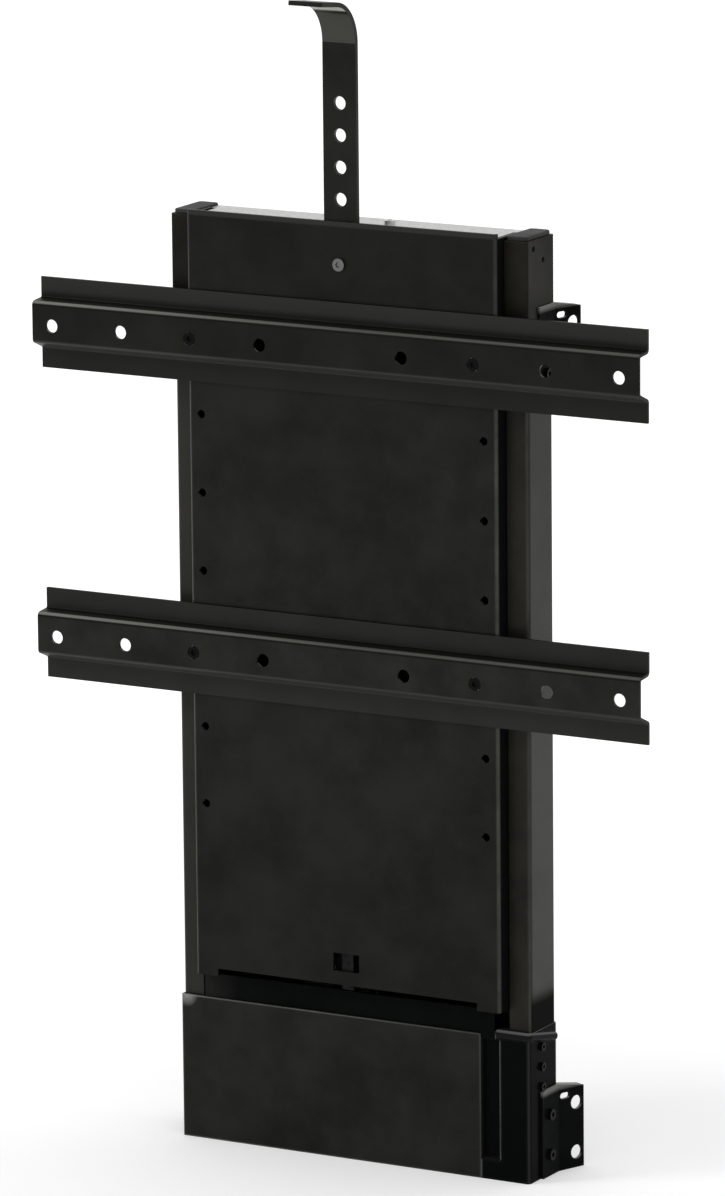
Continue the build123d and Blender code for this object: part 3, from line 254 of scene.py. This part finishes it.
panelCoat = dict(
    # The bends take wear and a painted highlight
    satinCoat, dark=picked(17, 18, 14), light=picked(31, 32, 28), wearSheenTone=picked(70, 70, 66), bends=True,
    bands=(
        # Painted shade, deeper towards the top and the foot
        tone("place", "Z", 0.4, 0.62, (8, 9, 7), 0.45),
        tone("place", "Z", 0.3, 0.12, (10, 11, 9), 0.2),
        # The folds lie in the column's shade, and the top edge catches the light
        tone("facing", "X", 0.93, 0.99, (3, 3, 3), 0.95, bothWays=True, matt=True),
        tone("place", "Z", panelTop - 0.0036, panelTop - 0.0026, (42, 43, 39), 0.9),
    ),
)
railCoat = dict(
    # The bends take wear and a painted highlight
    satinCoat, dark=picked(19, 20, 18), light=picked(35, 36, 33), wearSheenTone=picked(50, 50, 47), bends=True,
    bands=(
        # Painted light and shade: the flanges are lighter, the upper rail is deeper, and its top
        # flange is light again
        tone("place", "Y", railHigh.y - 0.0065, railHigh.y - 0.0035, (40, 40, 37), 0.6),
        tone("place", "Z", 0.32, 0.54, (7, 8, 6), 0.55),
        tone("place", "Z", railHigh.z - 0.011, railHigh.z - 0.008, (50, 51, 48), 0.5),
        # The lower slope, lighter with painted light from below
        tone("facing", "Z", -0.15, -0.5, (52, 53, 50), 0.8),
        # The web's upper bend: a painted dark line under a painted highlight that fades to the right
        tone("facing", "Z", 0.04, 0.14, (5, 5, 4), 0.8),
        tone("facing", "Z", 0.42, 0.6, (116, 116, 110), 0.9, fade=(-0.2, 0.02, 0.42),
             before=(railHigh.y - 0.0075, railHigh.y - 0.0045)),
        # The shelf, darker with painted shade
        tone("facing", "Z", 0.95, 0.985, (12, 12, 10), 0.95),
    ),
)
coverCoat = dict(
    # The edges take wear and a painted highlight that fades to the right, and the top left corner a
    # painted glint
    satinCoat, dark=picked(19, 20, 16), light=picked(33, 34, 30), wearSheenTone=picked(124, 124, 118),
    edge=0.0022, sheenFade=(-0.12, 0.08, 0.35),
    cornerGlint={"place": (coverLow.x + 0.0035, coverLow.y, coverHigh.z + 0.0003), "reach": 0.0085,
            "tone": picked(150, 150, 146), "least": 0.6},
)
columnCoat = dict(
    satinCoat, dark=picked(23, 22, 18), light=picked(37, 36, 31), bends=True,
    bands=(
        # The left lip, lighter with painted light
        tone("place", "X", columnLow.x + 0.019, columnLow.x + 0.016, (50, 50, 46), 0.5),
        # Painted light and shade: the sides are light, deeper towards the top and dark just above the
        # base
        tone("facing", "X", 0.9, 0.98, (62, 62, 58), 0.75, bothWays=True),
        tone("place", "Z", 0.26, 0.52, (8, 8, 6), 0.62, sidesOnly=True),
        tone("place", "Z", coverHigh.z + 0.0325, coverHigh.z + 0.0205, (2, 2, 2), 0.95,
             sidesOnly=True, matt=True),
    ),
)
collarCoat = dict(satinCoat, dark=picked(18, 17, 13), light=picked(33, 32, 26), gloss=0.04)
# The strap's curl is seen from below: a painted reflection, bright where it turns over, dark on both
# sides of that
strapCoat = dict(
    satinCoat, dark=picked(15, 16, 12), light=picked(28, 29, 25),
    bands=(
        tone("facing", "Z", -0.004, -0.03, (66, 66, 62), 0.8),
        tone("facing", "Z", -0.72, -0.78, (20, 20, 18), 0.9),
        tone("facing", "Z", -0.82, -0.87, (176, 176, 168), 0.9),
        tone("facing", "Z", -0.984, -0.991, (20, 20, 18), 1.0),
    ),
)
# The brackets' edges take wear and a painted highlight
bracketCoat = dict(satinCoat, dark=picked(6, 7, 7), light=picked(13, 14, 14), wearSheenTone=picked(44, 44, 43),
                   gloss=0.01, edge=0.0016)
# The apron's edges take wear and a painted highlight, and its left end painted light
apronCoat = dict(bracketCoat, edge=0.0006, wearSheenTone=picked(30, 30, 30),
                 bands=(tone("place", "X", apronLeft + 0.039, apronLeft + 0.019, (34, 35, 33), 0.85),))


# A wall bracket's sloping top edge catches the light, most at its root
def litTop(nodeName):
    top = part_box(nodeName)[1].z
    return dict(bracketCoat, bands=(
        tone("place", "Z", top - 0.0042, top - 0.0012, (120, 120, 116), 0.8),
        tone("facing", "Z", 0.3, 0.7, (150, 150, 146), 0.9),
    ))


# Powder coat: orange peel, faint clouds, a fine speckle, wear with a painted highlight on edges or
# bends, and bands of painted light and shade
def makePowderCoat(name, look):
    material, tree, shader = newMaterial(name)
    point = objectPoint(tree)
    cloud = noise(tree, point, look["cloudScale"], detail=4.0, roughness=0.6)
    cloudiness = spread(tree, cloud, *noiseLimits["narrow"], 0.0, 1.0)
    colour = mixColour(tree, cloudiness, look["dark"], look["light"])
    speckle = noise(tree, point, look["speckleScale"])
    specks = spread(tree, speckle, *noiseLimits["specks"], 0.0, look["speckleShare"])
    colour = mixColour(tree, specks, colour, look["light"])
    roughness = spread(tree, cloud, *noiseLimits["wide"], look["roughOnDark"], look["roughOnLight"])
    rounded = roundedNormal(tree, look["edge"])
    scuffs = noise(tree, point, look["scuffScale"], detail=4.0, roughness=0.7)
    # Edges or bends take wear and a painted highlight
    wearAndSheen = bendWearAndSheen(tree) if look.get("bends") else edgeWearAndSheen(tree, rounded)
    scuffed = spread(tree, scuffs, *noiseLimits["wide"], look["scuffLeast"], 1.0)
    wearAndSheen = maths(tree, "MULTIPLY", wearAndSheen, scuffed)
    if "sheenFade" in look:
        wearAndSheen = fadeAlong(tree, point, wearAndSheen, "X", *look["sheenFade"])
    colour = mixColour(tree, wearAndSheen, colour, look["wearSheenTone"])
    colour, roughness = addBands(tree, point, colour, roughness, look["bands"])
    # A painted glint at one place, patchy with the scuffs
    if "cornerGlint" in look:
        spot = look["cornerGlint"]
        away = vectorMaths(tree, "DISTANCE", point, spot["place"])
        near = spread(tree, away, 0.0, spot["reach"], 1.0, 0.0)
        patchy = spread(tree, scuffs, *noiseLimits["patchy"], spot["least"], 1.0)
        colour = mixColour(tree, maths(tree, "MULTIPLY", near, patchy), colour, spot["tone"])
    tree.links.new(colour, shader.inputs["Base Color"])
    tree.links.new(roughness, shader.inputs["Roughness"])
    shader.inputs["Specular IOR Level"].default_value = look["gloss"]
    peel = noise(tree, point, look["peelScale"])
    surfaceRelief(tree, shader, peel, look["peelRelief"], rounded)
    return material


powderLooks = {
    "blackCoat": satinCoat, "panelPaint": panelCoat, "railPaint": railCoat, "coverPaint": coverCoat,
    "columnPaint": columnCoat, "collarPaint": collarCoat, "strapPaint": strapCoat,
    "apronPaint": apronCoat, "upperBracketPaint": litTop("upper_bracket_right"),
    "lowerBracketPaint": litTop("lower_bracket_right"),
}
for name, look in powderLooks.items():
    finishes[name] = makePowderCoat(name, look)

endMoulding = {
    # Upright edges and rounded bends take wear and a painted highlight
    "dark": picked(5, 6, 6), "light": picked(11, 12, 12), "wearSheenTone": picked(92, 92, 92),
    "bendSheenTone": picked(40, 40, 40), "gloss": 0.012, "rough": 0.22, "roughSwing": (0.8, 1.5),
    "edge": 0.0024, "smearScale": 35, "smearLeast": 0.6, "uprightLimits": (0.12, 0.35),
    "rippleScale": 120, "rippleRelief": (0.08, 0.0006),
    "bands": (
        # The shoulder bead stands out of the front and the side
        tone("place", "Y", coverLow.y - 0.0001, coverLow.y - 0.0004, (26, 26, 26), 0.8),
        tone("place", "X", columnHigh.x + 0.0001, columnHigh.x + 0.0004, (26, 26, 26), 0.8,
             bothWays=True),
        # The rim's rounding shines and its level top doesn't
        tone("facing", "Z", 0.4, 0.7, (112, 112, 112), 0.65),
        tone("facing", "Z", 0.93, 0.985, (9, 10, 10), 0.9),
    ),
}


# Moulded gloss plastic: a slight ripple, handling smears, wear with a painted highlight on edges and
# bends, and bands of tone
def makeMouldedGloss(name, look):
    material, tree, shader = newMaterial(name)
    point = objectPoint(tree)
    smear = noise(tree, point, look["smearScale"], detail=5.0, roughness=0.65)
    colour = mixColour(tree, smear, look["dark"], look["light"])
    roughness = swingRoughness(tree, smear, look["rough"], look["roughSwing"])
    rounded = roundedNormal(tree, look["edge"])
    # The painted highlight and the wear go on the upright edges, not the level ones
    tilt = maths(tree, "ABSOLUTE", partOf(tree, rounded, "Z"))
    upright = spread(tree, tilt, *look["uprightLimits"], 1.0, 0.0)
    patchy = spread(tree, smear, *noiseLimits["patchy"], look["smearLeast"], 1.0)
    wearAndSheen = maths(tree, "MULTIPLY", maths(tree, "MULTIPLY", edgeWearAndSheen(tree, rounded), upright), patchy)
    colour = mixColour(tree, wearAndSheen, colour, look["wearSheenTone"])
    # Rounded bends take a painted highlight with their wear
    colour = mixColour(tree, bendWearAndSheen(tree), colour, look["bendSheenTone"])
    colour, roughness = addBands(tree, point, colour, roughness, look["bands"])
    tree.links.new(colour, shader.inputs["Base Color"])
    tree.links.new(roughness, shader.inputs["Roughness"])
    shader.inputs["Specular IOR Level"].default_value = look["gloss"]
    ripple = noise(tree, point, look["rippleScale"])
    surfaceRelief(tree, shader, ripple, look["rippleRelief"], rounded)
    return material


finishes["glossEnd"] = makeMouldedGloss("glossEnd", endMoulding)

rolled = {
    "roughSwing": (0.8, 1.3), "spangleScale": 260, "spangleReach": 0.8,
    "lineScale": 1400, "lineStretch": (1, 1, 0.04), "lineRelief": (0.05, 0.0002),
}
sheetLooks = {
    "zincSheet": dict(rolled, dark=(0.4, 0.41, 0.42, 1), light=(0.53, 0.54, 0.54, 1), rough=0.36),
    "polishedPlate": dict(rolled, dark=(0.3, 0.3, 0.3, 1), light=(0.46, 0.46, 0.45, 1), rough=0.24),
    "phosphateSteel": dict(rolled, dark=(0.008, 0.008, 0.008, 1), light=(0.016, 0.016, 0.016, 1),
                           rough=0.5),
}


# Rolled sheet: spangle cells and fine rolling lines
def makeRolledSheet(name, look):
    material, tree, shader = newMaterial(name)
    cells = tree.nodes.new("ShaderNodeTexVoronoi")
    cells.inputs["Scale"].default_value = look["spangleScale"]
    tree.links.new(objectPoint(tree), cells.inputs["Vector"])
    spangle = spread(tree, cells.outputs["Distance"], 0.0, look["spangleReach"], 0.0, 1.0)
    tree.links.new(mixColour(tree, spangle, look["dark"], look["light"]), shader.inputs["Base Color"])
    lines = noise(tree, objectPoint(tree, look["lineStretch"]), look["lineScale"], detail=3.0)
    tree.links.new(swingRoughness(tree, lines, look["rough"], look["roughSwing"]),
                   shader.inputs["Roughness"])
    shader.inputs["Metallic"].default_value = 1.0
    surfaceRelief(tree, shader, lines, look["lineRelief"])
    return material


for name, look in sheetLooks.items():
    finishes[name] = makeRolledSheet(name, look)

machined = {
    "roughSwing": (0.8, 1.3), "run": (1, 1, 0.1), "markScale": 1800, "markRelief": (0.08, 0.0002),
}
metalLooks = {
    "turnedSteel": dict(machined, dark=(0.5, 0.5, 0.5, 1), light=(0.72, 0.72, 0.71, 1), rough=0.25),
    "blackOxide": dict(machined, dark=picked(10, 10, 10), light=picked(26, 26, 26), rough=0.5),
    "dullSteel": dict(machined, dark=(0.08, 0.08, 0.08, 1), light=(0.17, 0.17, 0.17, 1), rough=0.42),
    "greasedSteel": dict(machined, dark=(0.012, 0.012, 0.012, 1), light=(0.05, 0.05, 0.048, 1),
                         rough=0.3),
    "gearSteel": dict(machined, dark=(0.25, 0.25, 0.26, 1), light=(0.42, 0.42, 0.43, 1), rough=0.38),
    "castAlloy": dict(machined, dark=(0.45, 0.45, 0.46, 1), light=(0.6, 0.6, 0.61, 1), rough=0.45,
                      run=(1, 1, 1)),
    "bearingBronze": dict(machined, dark=(0.5, 0.33, 0.13, 1), light=(0.68, 0.48, 0.22, 1), rough=0.3),
}


# Machined metal with fine marks, drawn out along its run
def makeMachined(name, look):
    material, tree, shader = newMaterial(name)
    marks = noise(tree, objectPoint(tree, look["run"]), look["markScale"])
    tree.links.new(mixColour(tree, marks, look["dark"], look["light"]), shader.inputs["Base Color"])
    tree.links.new(swingRoughness(tree, marks, look["rough"], look["roughSwing"]),
                   shader.inputs["Roughness"])
    shader.inputs["Metallic"].default_value = 1.0
    surfaceRelief(tree, shader, marks, look["markRelief"])
    return material


for name, look in metalLooks.items():
    finishes[name] = makeMachined(name, look)

moulded = {
    "roughSwing": (0.9, 1.15), "gloss": 0.3, "patchScale": 40,
    "grainScale": 700, "grainRelief": (0.15, 0.0003),
}
mattLooks = {
    "glideWhite": dict(moulded, dark=picked(205, 205, 198), light=picked(225, 225, 218), rough=0.5),
    "mattBlack": dict(moulded, dark=picked(20, 20, 20), light=picked(32, 32, 31), rough=0.6),
    "beltRubber": dict(moulded, dark=picked(22, 22, 23), light=picked(38, 38, 38), rough=0.8,
                       grainScale=1500),
    "boardLacquer": dict(moulded, dark=picked(20, 70, 38), light=picked(32, 92, 50), rough=0.35),
}


# Moulded plastic, rubber or lacquer with a fine matt texture
def makeMatt(name, look):
    material, tree, shader = newMaterial(name)
    point = objectPoint(tree)
    grain = noise(tree, point, look["grainScale"], detail=3.0)
    tree.links.new(mixColour(tree, grain, look["dark"], look["light"]), shader.inputs["Base Color"])
    patches = noise(tree, point, look["patchScale"])
    tree.links.new(swingRoughness(tree, patches, look["rough"], look["roughSwing"]),
                   shader.inputs["Roughness"])
    shader.inputs["Specular IOR Level"].default_value = look["gloss"]
    surfaceRelief(tree, shader, grain, look["grainRelief"])
    return material


for name, look in mattLooks.items():
    finishes[name] = makeMatt(name, look)

slotFinish = {
    "black_paint": "blackCoat", "galvanised": "zincSheet", "bright_steel": "turnedSteel",
    "black_screws": "blackOxide", "gloss_black": "glossEnd", "glide_plastic": "glideWhite",
    "black_plastic": "mattBlack", "gear_steel": "gearSteel", "cast_block": "castAlloy",
    "bronze": "bearingBronze", "belt_rubber": "beltRubber", "buffer_rubber": "beltRubber",
    "board_green": "boardLacquer", "lead_sheath": "mattBlack",
}
# A few nodes look different from the rest of their slot
nodeFinish = {
    "front_panel": "panelPaint", "tv_rail_upper": "railPaint", "tv_rail_lower": "railPaint",
    "base_cover": "coverPaint", "outer_column": "columnPaint", "goose_neck_strap": "strapPaint",
    "base_top_plate": "apronPaint", "lower_bracket_left": "lowerBracketPaint",
    "lower_bracket_right": "lowerBracketPaint", "upper_bracket_left": "upperBracketPaint",
    "upper_bracket_right": "upperBracketPaint", "mast_top_plate": "polishedPlate",
    "belt_clamp_bar": "phosphateSteel", "belt_clamp_plate": "phosphateSteel",
    "top_collar_left": "collarPaint", "top_collar_right": "collarPaint", "strap_screw": "dullSteel",
}
for row in frame["record"]["subparts"]:
    node = nodes[row["node"]]
    finish = finishes[nodeFinish.get(row["node"], slotFinish[row["material_slot"]])]
    if not node.material_slots:
        node.data.materials.append(finish)
    for materialSlot in node.material_slots:
        materialSlot.link = "OBJECT"
        materialSlot.material = finish


# A new object from points and faces, with its finish
def newPiece(name, points, faces, finish, smooth=True):
    mesh = bpy.data.meshes.new(name)
    mesh.from_pydata(points, [], faces)
    mesh.update()
    piece = bpy.data.objects.new(name, mesh)
    bpy.context.scene.collection.objects.link(piece)
    piece.data.materials.append(finish)
    for polygon in mesh.polygons:
        polygon.use_smooth = smooth
    return piece


print("lead screw")
# Millimetres, but for crest and flank, which are shares of one pitch
screwThread = {
    "starts": 4, "lead": 12.0, "depth": 1.2, "crest": 0.34, "flank": 0.18,
    "step": 0.5, "sides": 48, "chamfer": 1.2, "journalRadius": 5.0, "journalTop": 95.8,
    "journalChamfer": 0.5,
}


# Four-start trapezoidal thread above the plain journal
def makeLeadScrew(look):
    low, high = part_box("lead_screw")
    outer = (high.x - low.x) / 2
    journalRadius = look["journalRadius"] * millimetre
    journalTop = look["journalTop"] * millimetre
    journalChamfer = look["journalChamfer"] * millimetre
    pitch = look["lead"] / look["starts"]
    flankEnd = look["flank"]
    crestEnd = flankEnd + look["crest"]

    def threadRadius(z, angle):
        share = ((z / millimetre - look["lead"] * angle / (2 * pi)) / pitch) % 1.0
        height = 0.0
        if share < flankEnd:
            height = share / flankEnd
        elif share < crestEnd:
            height = 1.0
        elif share < crestEnd + flankEnd:
            height = 1.0 - (share - crestEnd) / flankEnd
        return outer - look["depth"] * millimetre * (1.0 - height)

    # Rings of points up the screw; the thread sets the radius of those that have none
    rings = [(low.z, journalRadius - journalChamfer), (low.z + journalChamfer, journalRadius),
             (journalTop, journalRadius)]
    z = journalTop
    while z < high.z:
        rings.append((z, None))
        z += look["step"] * millimetre
    points, faces = [], []
    sides = look["sides"]
    for level, radius in rings:
        for index in range(sides):
            angle = 2 * pi * index / sides
            size = radius
            if size is None:
                fromEnd = min(level - journalTop, high.z - level) / millimetre
                limit = outer - max(0.0, look["chamfer"] - fromEnd) * millimetre
                size = min(threadRadius(level, angle), limit)
            points.append((size * cos(angle), size * sin(angle), level))
    for ring in range(len(rings) - 1):
        for index in range(sides):
            after = (index + 1) % sides
            faces.append((ring * sides + index, ring * sides + after,
                          (ring + 1) * sides + after, (ring + 1) * sides + index))
    last = (len(rings) - 1) * sides
    faces.append(tuple(range(sides - 1, -1, -1)))
    faces.append(tuple(last + index for index in range(sides)))
    screw = newPiece("threadedLeadScrew", points, faces, finishes["greasedSteel"])
    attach(screw, "screw")
    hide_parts("lead_screw")


makeLeadScrew(screwThread)

print("belts")
toothedBelt = {"pitch": 3.0, "back": 0.75, "tooth": 0.65, "width": 20.0}     # millimetres
# Shares of a pitch where the outline turns, and whether the face stands up on a tooth there
toothShape = ((0.0, False), (0.2, False), (0.28, True), (0.72, True), (0.8, False))


# A belt along a row of stations: each gives the back's place and the face's place as (y, z)
def makeBelt(name, stations, look):
    half = look["width"] * millimetre / 2
    points, faces = [], []
    for back, face in stations:
        for x, (y, z) in ((-half, back), (half, back), (half, face), (-half, face)):
            points.append((x, y, z))
    corners = 4
    for row in range(len(stations) - 1):
        first = row * corners
        for corner in range(corners):
            after = (corner + 1) % corners
            faces.append((first + corner, first + after,
                          first + corners + after, first + corners + corner))
    end = (len(stations) - 1) * corners
    faces.append((3, 2, 1, 0))
    faces.append((end, end + 1, end + 2, end + 3))
    belt = newPiece(name, points, faces, finishes["beltRubber"], smooth=False)
    return belt


# Shares of a run at which the outline turns, with a whole number of teeth
def toothStations(length, look):
    count = max(1, round(length / (look["pitch"] * millimetre)))
    shares = []
    for number in range(count):
        for share, raised in toothShape:
            shares.append(((number + share) / count, raised))
    return shares + [(1.0, False)]


def makeStraightBelt(name, nodeName, backY, faceY, look):
    low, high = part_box(nodeName)
    rootY = backY + (faceY - backY) * look["back"] / (look["back"] + look["tooth"])
    stations = []
    for share, raised in toothStations(high.z - low.z, look):
        z = low.z + share * (high.z - low.z)
        stations.append(((backY, z), (faceY if raised else rootY, z)))
    belt = makeBelt(name, stations, look)
    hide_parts(nodeName)
    return belt


frontLow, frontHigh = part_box("lift_belt_front")
rearLow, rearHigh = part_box("lift_belt_rear")
frontRun = makeStraightBelt("toothedBeltFront", "lift_belt_front", frontLow.y, frontHigh.y,
                            toothedBelt)
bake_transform(frontRun)
rearRun = makeStraightBelt("toothedBeltRear", "lift_belt_rear", rearHigh.y, rearLow.y, toothedBelt)
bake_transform(rearRun)


# The half turn over the pulley
def makeBeltWrap(look):
    low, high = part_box("lift_belt_wrap")
    centreY = (low.y + high.y) / 2
    outer = (high.y - low.y) / 2
    centreZ = high.z - outer
    root = outer - look["back"] * millimetre
    inner = root - look["tooth"] * millimetre
    stations = []
    for share, raised in toothStations(pi * inner, look):
        across, along = cos(pi * share), sin(pi * share)
        face = inner if raised else root
        stations.append(((centreY + outer * across, centreZ + outer * along),
                         (centreY + face * across, centreZ + face * along)))
    wrap = makeBelt("toothedBeltWrap", stations, look)
    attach(wrap, "mast")
    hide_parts("lift_belt_wrap")


makeBeltWrap(toothedBelt)

print("floor, light and camera")
studio = {
    "floorHalf": 14.0, "floorPale": (0.82, 0.82, 0.82, 1), "floorPaler": (0.85, 0.85, 0.85, 1),
    "floorNoise": 30, "floorRough": 0.9, "floorGloss": 0.0, "glowTint": (1, 1, 1, 1),
    "glowNear": 0.28, "glowFar": 0.56, "glowReach": (0.25, 1.5), "worldLight": 0.7,
}
lampAim = (0.0, 0.0, 0.35)
lamps = {
    "keyLight": {"place": (-2.2, -1.9, 2.4), "size": (0.9, 0.7), "power": 26.0, "aim": lampAim},
    "topLight": {"place": (0.3, 0.2, 2.8), "size": (1.6, 1.2), "power": 10.0, "aim": lampAim},
}


# A pale floor that glows a little, more with the distance, so that it runs out into white
def makeFloor(look):
    half = look["floorHalf"]
    corners = [(-half, -half, 0), (half, -half, 0), (half, half, 0), (-half, half, 0)]
    material, tree, shader = newMaterial("studioFloor")
    floor = newPiece("studioFloor", corners, [(0, 1, 2, 3)], material, smooth=False)
    point = objectPoint(tree)
    grain = noise(tree, point, look["floorNoise"], detail=3.0)
    tree.links.new(mixColour(tree, grain, look["floorPale"], look["floorPaler"]),
                   shader.inputs["Base Color"])
    shader.inputs["Roughness"].default_value = look["floorRough"]
    shader.inputs["Specular IOR Level"].default_value = look["floorGloss"]
    shader.inputs["Emission Color"].default_value = look["glowTint"]
    nearest, furthest = look["glowReach"]
    away = vectorMaths(tree, "LENGTH", point)
    glow = spread(tree, away, nearest, furthest, look["glowNear"], look["glowFar"])
    tree.links.new(glow, shader.inputs["Emission Strength"])


# White to the camera, to gloss and to glass, and softer as a light
def makeWorld(look):
    world = bpy.data.worlds.new("studioWorld")
    bpy.context.scene.world = world
    world.use_nodes = True
    tree = world.node_tree
    background = next(node for node in tree.nodes if node.type == "BACKGROUND")
    background.inputs["Color"].default_value = (1, 1, 1, 1)
    rays = tree.nodes.new("ShaderNodeLightPath")
    white = rays.outputs["Is Camera Ray"]
    for output in ("Is Glossy Ray", "Is Transmission Ray"):
        white = maths(tree, "MAXIMUM", white, rays.outputs[output])
    strength = spread(tree, white, 0.0, 1.0, look["worldLight"], 1.0)
    tree.links.new(strength, background.inputs["Strength"])


def makeLamp(name, look):
    lamp = bpy.data.lights.new(name, "AREA")
    lamp.shape = "RECTANGLE"
    lamp.size, lamp.size_y = look["size"]
    lamp.energy = look["power"]
    holder = bpy.data.objects.new(name, lamp)
    bpy.context.scene.collection.objects.link(holder)
    holder.location = look["place"]
    away = Vector(look["place"]) - Vector(look["aim"])
    holder.rotation_euler = away.to_track_quat("Z", "Y").to_euler()


makeFloor(studio)
makeWorld(studio)
for lampName, lampLook in lamps.items():
    makeLamp(lampName, lampLook)

viewpoint = {
    "azimuth": 29.067, "elevation": 12.144, "roll": -0.536, "distance": 5.1056,
    "target": (0.0141, -0.0265, 0.3660), "focalPixels": 8223.5, "imageHeight": 1196, "sensor": 36.0,
    "clipEnd": 40,
}


# Angles are in degrees; the azimuth turns from the front towards the right
def placeCamera(look):
    azimuth, elevation, roll = (radians(look[key]) for key in ("azimuth", "elevation", "roll"))
    away = Vector((sin(azimuth) * cos(elevation), -cos(azimuth) * cos(elevation), sin(elevation)))
    right = Vector((cos(azimuth), sin(azimuth), 0))
    up = away.cross(right)
    sideways = right * cos(roll) + up * sin(roll)
    upwards = up * cos(roll) - right * sin(roll)
    data = bpy.data.cameras.new("photoCamera")
    data.sensor_fit = "VERTICAL"
    data.sensor_height = look["sensor"]
    data.lens = look["focalPixels"] / look["imageHeight"] * look["sensor"]
    data.clip_end = look["clipEnd"]
    camera = bpy.data.objects.new("photoCamera", data)
    bpy.context.scene.collection.objects.link(camera)
    turn = Matrix((sideways, upwards, away)).transposed().to_4x4()
    place = Vector(look["target"]) + away * look["distance"]
    camera.matrix_world = Matrix.Translation(place) @ turn
    bpy.context.scene.camera = camera


placeCamera(viewpoint)
bpy.context.scene.view_settings.view_transform = "Standard"
